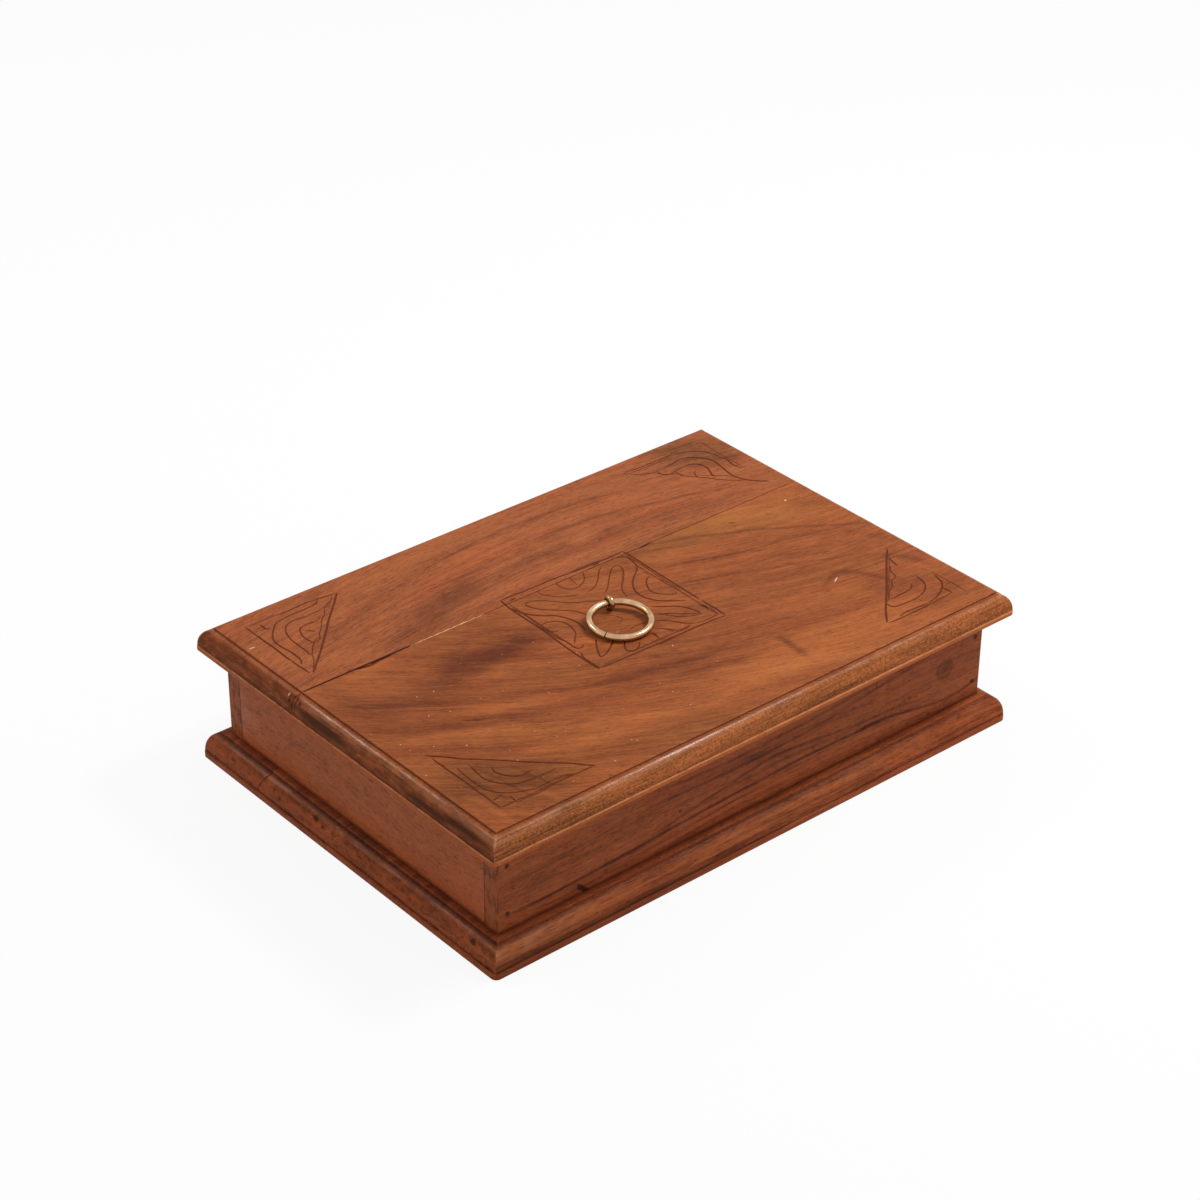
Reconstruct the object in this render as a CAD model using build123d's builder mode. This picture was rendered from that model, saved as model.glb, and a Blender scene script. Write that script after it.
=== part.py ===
from build123d import *
from math import asin, atan2, cos, degrees, radians, sin, sqrt
import os

os.makedirs("parts", exist_ok=True)

# A wooden storage box with a lift-off lid, in millimetres.
# X runs along the long sides, Y from the front to the back and Z up.
# The origin is the middle of the underside.

# Base and lid, measured over their moulded edges
box_length = 305.0
box_width = 215.0
base_thickness = 14.0
lid_thickness = 11.5

# Walls of the case
wall_height = 44.0
wall_thickness = 9.5
wall_inset = 10.0
wall_corner_radius = 0.6

# Edge moulding: a quirk, an ovolo, a ledge and a rounded lip
moulding_reach = 6.7
quirk_depth = 0.9
ledge_width = 1.0
lid_lip_height = 2.3
base_lip_height = 3.3
lip_corner_radius = 3.0
lip_edge_radius = 0.6

# Glued joints between the two boards of the lid and of the base
lid_joint_y = 33.0
base_joint_y = 60.0

# Cross battens under the lid, which locate it inside the case
batten_width = 18.0
batten_depth = 8.0
batten_clearance = 0.8
batten_chamfer = 1.5

# Nails
corner_nail_length = 28.0
base_nail_length = 35.0
batten_nail_length = 16.0
nail_shank_radius = 0.7
nail_head_radius = 1.3
nail_head_thickness = 0.8
nail_point_length = 2.5
nail_sink = 0.3
nail_fit = 0.03
corner_nail_rise = 8.5
corner_nail_spacing = 24.5
long_wall_nail_spacing = 105.0
short_wall_nail_spacing = 90.0
batten_nail_spacing = 70.0

# Pull ring, bent from round wire until its ends meet
ring_outer_diameter = 31.0
ring_wire_diameter = 3.2
ring_turn = 20.0
ring_seam_angle = 133.0
ring_seam_gap = 0.35
ring_end_chamfer = 0.2
ring_rest_gap = 0.15

# Split pin of half-round wire, whose eye holds the ring and stands a little askew to it
pin_wire_radius = 1.3
eye_turn = 8.0
eye_bore_radius = 2.2
eye_seat_gap = 0.1
eye_neck_radius = 1.5
pin_leg_gap = 0.1
pin_leg_reach = 13.0
pin_bend_radius = 1.8
pin_hole_fit = 0.15
pin_hole_chamfer = 0.5

# Heights and outlines that follow from the sizes above
wall_top = base_thickness + wall_height
lid_top = wall_top + lid_thickness
case_length = box_length - 2 * wall_inset
case_width = box_width - 2 * wall_inset
inner_length = case_length - 2 * wall_thickness
inner_width = case_width - 2 * wall_thickness
long_wall_y = (case_width - wall_thickness) / 2
short_wall_x = (case_length - wall_thickness) / 2
batten_x = inner_length / 2 - batten_clearance - batten_width / 2
batten_length = inner_width - 2 * batten_clearance
batten_bottom = wall_top - batten_depth


# Forms that more than one piece is made from
def moulded_panel(thickness, lip_height, underside):
    """Panel with the stepped ovolo worked along its four edges, which meet in mitres."""
    lip_top = underside + lip_height
    top = underside + thickness
    shoulder = top - quirk_depth
    passes = (
        (Plane.XZ, box_length, box_width, Mode.ADD),
        (Plane.YZ, box_width, box_length, Mode.INTERSECT),
    )
    with BuildPart() as panel:
        for plane, span, run, mode in passes:
            edge = span / 2
            ledge = edge - ledge_width
            arris = edge - moulding_reach
            with BuildSketch(plane.offset(-run / 2)):
                with BuildLine():
                    Polyline((0, underside), (edge, underside), (edge, lip_top), (ledge, lip_top))
                    EllipticalCenterArc(
                        (arris, lip_top),
                        ledge - arris,
                        shoulder - lip_top,
                        arc_size=90,
                    )
                    Polyline((arris, shoulder), (arris, top), (0, top))
                    mirror(about=Plane.YZ)
                make_face()
            extrude(amount=run, mode=mode)
        lip_corners = panel.edges().filter_by(Axis.Z).group_by(Axis.Z)[0]
        fillet(lip_corners, lip_corner_radius)
        level_faces = panel.faces().filter_by(Plane.XY).sort_by(Axis.Z)
        underside_edges = level_faces[0].outer_wire().edges()
        ledge_edges = level_faces[1].outer_wire().edges()
        fillet(underside_edges + ledge_edges, lip_edge_radius)
    return panel.part


def nail_shape(length, fit=0.0):
    """Wire nail, point down, driven at the origin, or with a fit the hole that it fills."""
    mouth = 0 if fit else -nail_sink
    head = nail_head_radius + fit
    shank = nail_shank_radius + fit
    neck = -nail_sink - nail_head_thickness - fit
    point = neck - length
    shoulder = point + nail_point_length
    with BuildPart() as nail:
        with BuildSketch(Plane.XZ):
            with BuildLine():
                Polyline((0, mouth), (head, mouth), (head, neck), (shank, neck))
                Polyline((shank, neck), (shank, shoulder), (0, point), (0, mouth))
            make_face()
        revolve(axis=Axis.Z)
    return nail.part


# Places where the nails are driven, with local Z out of the wood
def corner_nail_places(side):
    """Through a long wall into the ends of the two short walls."""
    outward = (90, 0, 0) if side < 0 else (-90, 0, 0)
    heights = [base_thickness + corner_nail_rise + step * corner_nail_spacing for step in (0, 1)]
    return [
        Location((end * short_wall_x, side * case_width / 2, height), outward)
        for end in (-1, 1)
        for height in heights
    ]


def base_nail_places():
    """Up through the base into the four walls."""
    long_rows = [
        (step * long_wall_nail_spacing, side * long_wall_y) for side in (-1, 1) for step in (-1, 0, 1)
    ]
    short_rows = [
        (end * short_wall_x, side * short_wall_nail_spacing / 2) for end in (-1, 1) for side in (-1, 1)
    ]
    return [Location((x, y, 0), (180, 0, 0)) for x, y in long_rows + short_rows]


def batten_nail_places(end):
    """Up through a batten into the boards of the lid."""
    return [
        Location((end * batten_x, step * batten_nail_spacing, batten_bottom), (180, 0, 0))
        for step in (-1, 0, 1)
    ]


corner_nail = nail_shape(corner_nail_length)
corner_nail_hole = nail_shape(corner_nail_length, nail_fit)
base_nail = nail_shape(base_nail_length)
base_nail_hole = nail_shape(base_nail_length, nail_fit)
batten_nail = nail_shape(batten_nail_length)
batten_nail_hole = nail_shape(batten_nail_length, nail_fit)

# Base: two boards glued edge to edge
base_panel = moulded_panel(base_thickness, base_lip_height, 0)
for name, keep in (("base_front_board", Keep.TOP), ("base_rear_board", Keep.BOTTOM)):
    with BuildPart() as base_board:
        add(base_panel)
        split(bisect_by=Plane.XZ.offset(-base_joint_y), keep=keep)
        with Locations(base_nail_places()):
            add(base_nail_hole, mode=Mode.SUBTRACT)
    base_board.part.label = name
    export_step(base_board.part, f"parts/{name}.step")

# Long walls, whose end grain shows on the short sides
for name, side in (("wall_front", -1), ("wall_back", 1)):
    with BuildPart() as long_wall:
        with BuildSketch(Plane.XY.offset(base_thickness)):
            with Locations((0, side * long_wall_y)):
                Rectangle(case_length, wall_thickness)
        extrude(amount=wall_height)
        uprights = long_wall.edges().filter_by(Axis.Z)
        outer_corners = uprights.group_by(Axis.Y)[0 if side < 0 else -1]
        fillet(outer_corners, wall_corner_radius)
        with Locations(corner_nail_places(side)):
            add(corner_nail_hole, mode=Mode.SUBTRACT)
        with Locations(base_nail_places()):
            add(base_nail_hole, mode=Mode.SUBTRACT)
    long_wall.part.label = name
    export_step(long_wall.part, f"parts/{name}.step")

# Short walls, which stand between the long ones
for name, end in (("wall_left", -1), ("wall_right", 1)):
    with BuildPart() as short_wall:
        with BuildSketch(Plane.XY.offset(base_thickness)):
            with Locations((end * short_wall_x, 0)):
                Rectangle(wall_thickness, inner_width)
        extrude(amount=wall_height)
        with Locations(corner_nail_places(-1) + corner_nail_places(1)):
            add(corner_nail_hole, mode=Mode.SUBTRACT)
        with Locations(base_nail_places()):
            add(base_nail_hole, mode=Mode.SUBTRACT)
    short_wall.part.label = name
    export_step(short_wall.part, f"parts/{name}.step")

# Lid: two boards glued edge to edge, with the hole for the split pin in its middle
lid_panel = moulded_panel(lid_thickness, lid_lip_height, wall_top)
pin_hole_radius = pin_wire_radius + pin_leg_gap / 2 + pin_hole_fit
for name, keep in (("lid_front_board", Keep.TOP), ("lid_rear_board", Keep.BOTTOM)):
    with BuildPart() as lid_board:
        add(lid_panel)
        with Locations((0, 0, lid_top)):
            Hole(pin_hole_radius)
        with Locations((0, 0, wall_top + pin_hole_chamfer / 2)):
            Cone(
                pin_hole_radius + pin_hole_chamfer,
                pin_hole_radius,
                pin_hole_chamfer,
                mode=Mode.SUBTRACT,
            )
        split(bisect_by=Plane.XZ.offset(-lid_joint_y), keep=keep)
        with Locations(batten_nail_places(-1) + batten_nail_places(1)):
            add(batten_nail_hole, mode=Mode.SUBTRACT)
    lid_board.part.label = name
    export_step(lid_board.part, f"parts/{name}.step")

# Battens across the underside of the lid
for name, end in (("lid_batten_left", -1), ("lid_batten_right", 1)):
    with BuildPart() as batten:
        with BuildSketch(Plane.XY.offset(wall_top)):
            with Locations((end * batten_x, 0)):
                Rectangle(batten_width, batten_length)
        extrude(amount=-batten_depth)
        chamfer(batten.faces().sort_by(Axis.Z)[0].edges(), batten_chamfer)
        with Locations(batten_nail_places(end)):
            add(batten_nail_hole, mode=Mode.SUBTRACT)
    batten.part.label = name
    export_step(batten.part, f"parts/{name}.step")

# Nails, one node for each place where they are driven
nail_sets = (
    ("corner_nails_front", corner_nail, corner_nail_places(-1)),
    ("corner_nails_back", corner_nail, corner_nail_places(1)),
    ("base_nails", base_nail, base_nail_places()),
    ("batten_nails_left", batten_nail, batten_nail_places(-1)),
    ("batten_nails_right", batten_nail, batten_nail_places(1)),
)
for name, nail, places in nail_sets:
    with BuildPart() as nails:
        with Locations(places):
            add(nail)
    nails.part.label = name
    export_step(nails.part, f"parts/{name}.step")

eye_height = eye_bore_radius + pin_wire_radius + eye_seat_gap
eye_centre = Vector(0, 0, lid_top + eye_height)


def upright_plane(turn):
    """Upright plane through the eye's centre, whose local X points forward, turned to the left."""
    return Plane(
        origin=eye_centre, x_dir=(-sin(turn), -cos(turn), 0), z_dir=(-cos(turn), sin(turn), 0)
    )


# The pin is bent in one plane, and the ring swings in the other, about its local Z
eye_plane = upright_plane(radians(eye_turn))
ring_plane = upright_plane(radians(ring_turn))

# Split pin: the wire's flat side runs up one leg, round the eye and down the other,
# and the legs are clenched flat against the underside of the lid
leg_side = pin_leg_gap / 2
neck_x = leg_side + eye_neck_radius
neck_y = -sqrt((eye_bore_radius + eye_neck_radius) ** 2 - neck_x**2)
neck_angle = degrees(atan2(-neck_y, neck_x))
clench_y = -(eye_height + lid_thickness + pin_wire_radius)
bend_x = leg_side + pin_bend_radius
bend_y = clench_y + pin_bend_radius

with BuildPart() as split_pin:
    with BuildLine(eye_plane) as pin_path:
        Line((pin_leg_reach, clench_y), (bend_x, clench_y))
        CenterArc((bend_x, bend_y), pin_bend_radius, 270, -90)
        Line((leg_side, bend_y), (leg_side, neck_y))
        CenterArc((neck_x, neck_y), eye_neck_radius, 180, -neck_angle)
        CenterArc((0, 0), eye_bore_radius, -neck_angle, 180 + 2 * neck_angle)
        CenterArc((-neck_x, neck_y), eye_neck_radius, neck_angle, -neck_angle)
        Line((-leg_side, neck_y), (-leg_side, bend_y))
        CenterArc((-bend_x, bend_y), pin_bend_radius, 0, -90)
        Line((-bend_x, clench_y), (-pin_leg_reach, clench_y))
    tip_plane = Plane(origin=pin_path.line @ 0, x_dir=eye_plane.z_dir, z_dir=pin_path.line % 0)
    with BuildSketch(tip_plane):
        with BuildLine():
            CenterArc((0, 0), pin_wire_radius, 0, 180)
            Line((-pin_wire_radius, 0), (pin_wire_radius, 0))
        make_face()
    sweep(path=pin_path.line)
split_pin.part.label = "split_pin"
export_step(split_pin.part, "parts/split_pin.step")

# Pull ring, lying on the lid in front of its eye
wire_radius = ring_wire_diameter / 2
ring_radius = ring_outer_diameter / 2 - wire_radius
ring_tilt = degrees(asin((eye_height - wire_radius - ring_rest_gap) / (2 * ring_radius)))
swing = Axis((0, 0, 0), ring_plane.z_dir)
ring_reach = ring_plane.x_dir.rotate(swing, -ring_tilt)
ring_normal = ring_plane.y_dir.rotate(swing, -ring_tilt)
ring_centre = eye_centre + ring_reach * ring_radius
seam_side = (-ring_reach).rotate(Axis((0, 0, 0), ring_normal), ring_seam_angle)
seam_plane = Plane(origin=ring_centre, x_dir=seam_side, z_dir=seam_side.cross(ring_normal))
seam_arc = degrees(ring_seam_gap / ring_radius)

with BuildPart() as pull_ring:
    with BuildSketch(seam_plane):
        with Locations((ring_radius, 0)):
            Circle(wire_radius)
    revolve(axis=Axis(ring_centre, ring_normal), revolution_arc=360 - seam_arc)
    seam_edges = pull_ring.faces().filter_by(GeomType.PLANE).edges()
    chamfer(seam_edges, ring_end_chamfer)
pull_ring.part.label = "pull_ring"
export_step(pull_ring.part, "parts/pull_ring.step")

# The pose of the ring at rest, for whoever sets its joint
print(f"ring tilt at rest {ring_tilt:.2f} degrees, swing {180 - 2 * ring_tilt:.2f} degrees")
print("eye centre", [round(v, 4) for v in eye_centre], "axis", [round(v, 6) for v in swing.direction])
print("ring centre", [round(v, 4) for v in ring_centre])
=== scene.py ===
import math

import bpy
import numpy as np
from mathutils import Matrix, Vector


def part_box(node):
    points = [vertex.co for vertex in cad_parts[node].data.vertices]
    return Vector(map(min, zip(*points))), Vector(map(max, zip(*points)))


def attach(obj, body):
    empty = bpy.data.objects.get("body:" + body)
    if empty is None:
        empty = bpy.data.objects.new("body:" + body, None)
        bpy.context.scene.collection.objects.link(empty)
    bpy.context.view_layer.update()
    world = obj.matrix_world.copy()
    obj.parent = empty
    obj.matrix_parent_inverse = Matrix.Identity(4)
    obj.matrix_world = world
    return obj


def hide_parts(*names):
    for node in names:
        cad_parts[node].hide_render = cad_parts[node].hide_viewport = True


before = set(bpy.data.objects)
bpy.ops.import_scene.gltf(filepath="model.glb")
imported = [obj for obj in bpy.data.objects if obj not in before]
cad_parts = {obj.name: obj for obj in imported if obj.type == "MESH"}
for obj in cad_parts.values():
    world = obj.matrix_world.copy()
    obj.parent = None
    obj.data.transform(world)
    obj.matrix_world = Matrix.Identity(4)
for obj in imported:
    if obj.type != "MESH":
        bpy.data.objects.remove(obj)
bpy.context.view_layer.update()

bl_info = {
    "name": "Carved storage box",
    "version": (1, 0, 0),
    "blender": (4, 5, 0),
    "location": "3D View > Sidebar > Storage Box",
    "description": "Carved lid, varnished hardwood and aged brass around a packed storage box",
    "category": "Object",
}

MM = 0.001
PHOTO_SIDE = 1200
SENSOR_WIDTH = 36.0

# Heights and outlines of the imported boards, in millimetres
LID_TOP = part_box("lid_front_board")[1].z / MM
LID_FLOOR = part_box("lid_front_board")[0].z / MM
LID_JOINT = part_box("lid_front_board")[1].y / MM
BASE_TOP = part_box("base_front_board")[1].z / MM
MOULDING_REACH = 6.7
OVOLO_REACH = 5.7
OVOLO_STEPS = 24
QUIRK = 0.9
LID_LEDGE = LID_FLOOR + 2.3
BASE_LEDGE = 3.3
FLAT_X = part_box("lid_front_board")[1].x / MM - MOULDING_REACH
FLAT_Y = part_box("lid_rear_board")[1].y / MM - MOULDING_REACH
WALL_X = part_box("wall_left")[0].x / MM
WALL_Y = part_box("wall_front")[0].y / MM
WALL_THICKNESS = 9.5
NAIL_X = 137.75
NAIL_MID = 34.75
NAIL_HALF_SPACING = 12.25

# The glue joint of the lid, along x: how far in it is open, where it is filled and how deep the filler
# is sunk, and the knots of the cut along it and how far they waver
JOINT_OPEN_TO = -86
FILLER_SPAN = (-88, -46)
FILLER_SUNK = 0.05
JOINT_KNOTS = range(-144, 145, 8)
JOINT_WAVER = 0.06

# Cuts along the joint, as shares of its width and depth and the length over which they run out: the
# joint all along, its open end and the chip
JOINT_CUTS = ((1.0, 1.0, 3), (1.8, 1.2, 12), (4.4, 1.5, 16))

# A board takes the cuts that come this near to the joint from the other side
JOINT_MARGIN = 1.5

UPRIGHT = (0, 0, 1)

# Tints that a colour is multiplied by
GREENER = (0.96, 1.08, 1.0, 1.0)
REDDER = (1.04, 0.93, 0.9, 1.0)
WARMER = (1.15, 0.95, 0.85, 1.0)
DULLER = (0.9, 0.8, 0.78, 1.0)

# An arris is rubbed where the surface turns by so many degrees over so many millimetres of length. An
# edge stays sharp in shading past its own turn, and a face is level past this height of its normal
ARRIS_DEGREES = 32
ARRIS_LEAST = 8
SHADED_DEGREES = 28
LEVEL = 0.9999
MERGE_DISTANCE = 1e-6

# Finish of the varnish, and brightness of the floor
PLANING_WAVE = 0.05
VARNISH_SPECULAR = 0.03
COAT_ROUGHNESS = 0.17
FLOOR_WHITE = (0.93, 0.93, 0.93, 1)
FLOOR_GLOW = 0.9


# Properties a user would change


def card(red, green, blue):
    """Scene-linear colour of a paint-card colour given in steps of 0 to 255."""
    shares = [step / 255 for step in (red, green, blue)]
    return tuple(s / 12.92 if s <= 0.04045 else ((s + 0.055) / 1.055) ** 2.4 for s in shares) + (1.0,)


def colour(name, description, red, green, blue):
    """Colour property whose default is a paint-card colour."""
    return bpy.props.FloatVectorProperty(
        name=name,
        description=description,
        subtype="COLOR",
        size=4,
        min=0.0,
        max=1.0,
        default=card(red, green, blue),
    )


def length(name, description, millimetres):
    """Length property given in millimetres."""
    return bpy.props.FloatProperty(
        name=name, description=description, unit="LENGTH", precision=5, default=millimetres * MM
    )


def share(name, description, default):
    """Plain number property."""
    return bpy.props.FloatProperty(name=name, description=description, default=default)


def angle(name, description, degrees):
    """Angle property given in degrees."""
    return bpy.props.FloatProperty(
        name=name, description=description, subtype="ANGLE", default=math.radians(degrees)
    )


def power(name, description, watts):
    """Power property of a lamp."""
    return bpy.props.FloatProperty(name=name, description=description, unit="POWER", default=watts)


class BoxCarvingSizes(bpy.types.PropertyGroup):
    """Sizes of the cuts in the lid."""

    line_width: length("Line width", "Width of a carved line at the surface", 1.05)
    line_depth: length("Line depth", "Depth of a carved line", 0.4)
    joint_width: length("Joint width", "Width of the open glue joint of the lid", 0.5)
    joint_depth: length("Joint depth", "Depth of the open glue joint of the lid", 0.5)
    crack_width: length("Crack width", "Width of a crack in a moulding", 0.55)
    crack_depth: length("Crack depth", "Depth of a crack in a moulding", 0.7)
    filler_width: length("Filler width", "Width of the filler squeezed out of the joint", 0.75)
    filler_height: length("Filler height", "Height of the filler above the lid", 0.12)
    cutter_step: length("Cutter step", "Spacing of the sections of a cut", 0.8)
    arris_round: length("Arris rounding", "Width of the rubbed arrises", 0.3)


class BoxTimberColours(bpy.types.PropertyGroup):
    """Colours of the varnished hardwood."""

    front_light: colour("Lid front light", "Pale bands of the lid's front board", 186, 107, 58)
    front_mid: colour("Lid front ground", "Ground colour of the lid's front board", 156, 86, 48)
    front_dark: colour("Lid front dark", "Dark streaks of the lid's front board", 100, 50, 30)
    rear_light: colour("Lid rear light", "Pale bands of the lid's rear board", 186, 108, 62)
    rear_mid: colour("Lid rear ground", "Ground colour of the lid's rear board", 162, 90, 54)
    rear_dark: colour("Lid rear dark", "Dark strokes of the lid's rear board", 100, 52, 32)
    wall_light: colour("Wall light", "Pale bands of the walls", 178, 100, 58)
    wall_mid: colour("Wall ground", "Ground colour of the walls", 150, 78, 45)
    wall_dark: colour("Wall dark", "Dark streaks of the walls", 72, 36, 24)
    side_mid: colour("Side wall ground", "Ground colour of the short walls", 174, 94, 56)
    base_light: colour("Base light", "Pale bands of the base", 184, 100, 56)
    base_mid: colour("Base ground", "Ground colour of the base", 142, 73, 43)
    base_dark: colour("Base dark", "Dark streaks of the base", 66, 30, 18)
    bare_light: colour("Batten light", "Pale bands of the unvarnished battens", 186, 130, 84)
    bare_mid: colour("Batten ground", "Ground colour of the unvarnished battens", 160, 104, 66)
    bare_dark: colour("Batten dark", "Dark streaks of the unvarnished battens", 112, 68, 42)
    gold: colour("Rubbed gold", "Golden brown where the lid moulding is rubbed", 200, 114, 62)
    plum: colour("Moulding brown", "Red-brown of the lid moulding at its ends", 150, 78, 44)
    # This bright colour is partly rubbed wood at the lip's edge and the mitres, and partly painted
    # highlight: glints, the lit crown of the lid's moulding and a bright line along the lip
    rim_wear_and_highlight: colour("Rubbed rim", "Bright wood where the rim of a lip is rubbed", 206, 144, 98)
    # This dark colour is real dirt in pits, dents and grain lines, and also painted shade at the bottom of
    # the lid's ovolo, in the dark stretches of its left moulding and along the base's ledge
    grime_and_shade: colour("Grime", "Dark grime in the hollows of the mouldings", 58, 32, 20)
    ember: colour("Base orange", "Orange wood of the base's lip and left moulding", 168, 84, 46)
    # This paler colour is painted highlight along the crown, ridges, mitres and near corner of the base's
    # moulding
    sheen: colour("Base sheen", "Paler wood along the rubbed crown of the base's moulding", 190, 116, 72)
    patch: colour("Fresh wood", "Orange wood beside the chip in the joint", 186, 96, 50)
    olive: colour("Olive tint", "Tint that greenish streaks are multiplied by", 226, 244, 232)
    # This dark colour is real staining in the carved lines, and painted shade in the dark line at the
    # bottom of the lid's step
    stain_and_shade: colour("Stain in cuts", "Dark stain lying in cuts and joints", 100, 48, 32)
    filler: colour("Filler", "Pale filler in the glue joint", 226, 176, 118)
    speck: colour("Dust", "Pale specks caught in the varnish", 236, 206, 180)


class BoxMetalColours(bpy.types.PropertyGroup):
    """Colours of the brass and the iron."""

    brass: colour("Brass", "Ground colour of the aged brass", 186, 148, 108)
    brass_bright: colour("Rubbed brass", "Brass where fingers rub it", 226, 194, 158)
    brass_brown: colour("Brass tarnish", "Brown tarnish in hollows", 104, 68, 42)
    iron: colour("Nail iron", "Dark iron of the nail heads", 58, 36, 26)
    rust: colour("Nail rust", "Rust on the nail heads", 72, 42, 28)


class BoxStudioSizes(bpy.types.PropertyGroup):
    """Camera, lamps and floor."""

    camera_place: bpy.props.FloatVectorProperty(
        name="Camera place",
        description="Where the camera stands",
        subtype="TRANSLATION",
        unit="LENGTH",
        size=3,
        default=(-0.7561, -0.8799, 0.7869),
    )
    camera_turn: angle("Camera turn", "Heading from which the camera looks, from the front", -40.46)
    camera_rise: angle("Camera rise", "Angle of the view above the floor", 31.554)
    camera_roll: angle("Camera roll", "Tilt of the camera about its line of sight", 0.42)
    lens: share("Lens", "Focal length in millimetres on a 36 mm sensor", 90.774)
    right_power: power("Right lamp", "Power of the lamp above on the right", 9.0)
    back_power: power("Back lamp", "Power of the lamp behind on the left", 3.0)
    fill: share("Fill", "Strength of the even light from all round", 0.45)
    floor_side: length("Floor side", "Length of the floor's sides", 6000.0)


GROUPS = {
    "box_carving": BoxCarvingSizes,
    "box_timber": BoxTimberColours,
    "box_metal": BoxMetalColours,
    "box_studio": BoxStudioSizes,
}


# Shader arithmetic


class Shade:
    """A socket in a material, so that sums and products of sockets are written as such."""

    def __init__(self, bench, socket):
        self.bench = bench
        self.socket = socket

    def maths(self, operation, *others):
        """Math node with this number first."""
        values = dict(enumerate((self, *others)))
        return self.bench.node("ShaderNodeMath", {"operation": operation}, values)

    def __add__(self, other):
        return self.maths("ADD", other)

    __radd__ = __add__

    def __mul__(self, other):
        return self.maths("MULTIPLY", other)

    __rmul__ = __mul__

    def __sub__(self, other):
        return self.maths("SUBTRACT", other)

    def __rsub__(self, other):
        return self.bench.node("ShaderNodeMath", {"operation": "SUBTRACT"}, {0: other, 1: self})

    def __abs__(self):
        return self.maths("ABSOLUTE")

    def rise(self, low, high):
        """0 below low, 1 above high and a smooth slope between."""
        return self.slope(low, high, 0.0, 1.0, "SMOOTHSTEP")

    def fall(self, low, high):
        """1 below low, 0 above high and a smooth slope between."""
        return self.slope(low, high, 1.0, 0.0, "SMOOTHSTEP")

    def ramp(self, low, high):
        """0 below low, 1 above high and a straight slope between."""
        return self.slope(low, high, 0.0, 1.0, "LINEAR")

    def slope(self, low, high, first, last, kind):
        """First below low, last above high and a slope of a kind between."""
        values = {"Value": self, "From Min": low, "From Max": high, "To Min": first, "To Max": last}
        return self.bench.node("ShaderNodeMapRange", {"interpolation_type": kind}, values)


class Bench:
    """A new material or world being mixed, with the few kinds of step that the finishes share."""

    def __init__(self, owner):
        owner.use_nodes = True
        self.owner = owner
        self.tree = owner.node_tree
        self.tree.nodes.clear()

    def node(self, kind, settings=None, inputs=None, output=0):
        """A node with its settings made first and then the values or links of its inputs."""
        made = self.tree.nodes.new(kind)
        for key, value in (settings or {}).items():
            setattr(made, key, value)
        for key, value in (inputs or {}).items():
            if isinstance(value, Shade):
                self.tree.links.new(value.socket, made.inputs[key])
            else:
                made.inputs[key].default_value = value
        return Shade(self, made.outputs[output] if len(made.outputs) else None)

    def parts(self, vector):
        """The x, y and z of a vector, for use where all three are needed."""
        split = self.node("ShaderNodeSeparateXYZ", inputs={0: vector}).socket.node
        return [Shade(self, split.outputs[i]) for i in range(3)]

    def part(self, vector, axis):
        """The x, y or z of a vector, by the number of its axis."""
        unit = tuple(float(axis == k) for k in range(3))
        lengths = {0: vector, 1: unit}
        return self.node("ShaderNodeVectorMath", {"operation": "DOT_PRODUCT"}, lengths, output=1)

    def joined(self, *parts):
        """Vector of three numbers."""
        return self.node("ShaderNodeCombineXYZ", inputs=dict(enumerate(parts)))

    def vector(self, operation, *values):
        """Vector Math node."""
        return self.node("ShaderNodeVectorMath", {"operation": operation}, dict(enumerate(values)))

    def framed(self, vector, centre=(0, 0, 0), turn=(0, 0, 0), size=(1, 1, 1)):
        """The vector as seen from a centre, turned by degrees and measured in sizes."""
        return self.node(
            "ShaderNodeMapping",
            {"vector_type": "TEXTURE"},
            {
                "Vector": vector,
                "Location": centre,
                "Rotation": [math.radians(a) for a in turn],
                "Scale": size,
            },
        )

    def cloud(self, size, centre=(0, 0, 0), detail=3, rough=0.6, at=None):
        """Cloudy noise from 0 to 1, whose blobs have the given sizes in millimetres."""
        seen = self.framed(at or self.here, centre, size=size)
        return self.node(
            "ShaderNodeTexNoise",
            {"noise_dimensions": "3D"},
            {"Vector": seen, "Scale": 1.0, "Detail": detail, "Roughness": rough},
        )

    def swayed(self, vector, size, reach, detail=1.0):
        """The vector pushed about by slow noise, up to reach millimetres along each axis."""
        inputs = {"Vector": self.framed(vector, size=size), "Scale": 1.0, "Detail": detail}
        cloud = self.node("ShaderNodeTexNoise", inputs=inputs, output=1)
        level = self.vector("SUBTRACT", cloud, (0.5, 0.5, 0.5))
        push = self.vector("MULTIPLY", level, tuple(2 * r for r in reach))
        return self.vector("ADD", vector, push)

    def far(self, vector, centre, size, turn=(0, 0, 0)):
        """How far a vector is from a centre: 1 on the skin of an ellipsoid."""
        seen = self.framed(vector, centre, turn, size)
        return self.node("ShaderNodeVectorMath", {"operation": "LENGTH"}, {0: seen}, output=1)

    def spot(self, vector, centre, size, turn=0.0, edge=0.4):
        """1 in the middle of an ellipsoid and 0 outside, with a soft edge."""
        return self.far(vector, centre, size, (0, 0, turn)).fall(edge, 1.0)

    def blend(self, mask, below, above, mode="MIX"):
        """Colour below where the mask is 0 and above where it is 1."""
        return self.node(
            "ShaderNodeMix",
            {"data_type": "RGBA", "blend_type": mode},
            {0: mask, 6: below, 7: above},
            output=2,
        )

    def bump(self, height):
        """Normal from a height in millimetres."""
        return self.node("ShaderNodeBump", inputs={"Height": height, "Distance": MM, "Strength": 1.0})

    def finish(self, **inputs):
        """Principled shader with these inputs, by the names of its sockets."""
        named = {key.replace("_", " "): value for key, value in inputs.items()}
        shader = self.node("ShaderNodeBsdfPrincipled", inputs=named)
        self.node("ShaderNodeOutputMaterial", inputs={"Surface": shader})
        return self.owner


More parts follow.
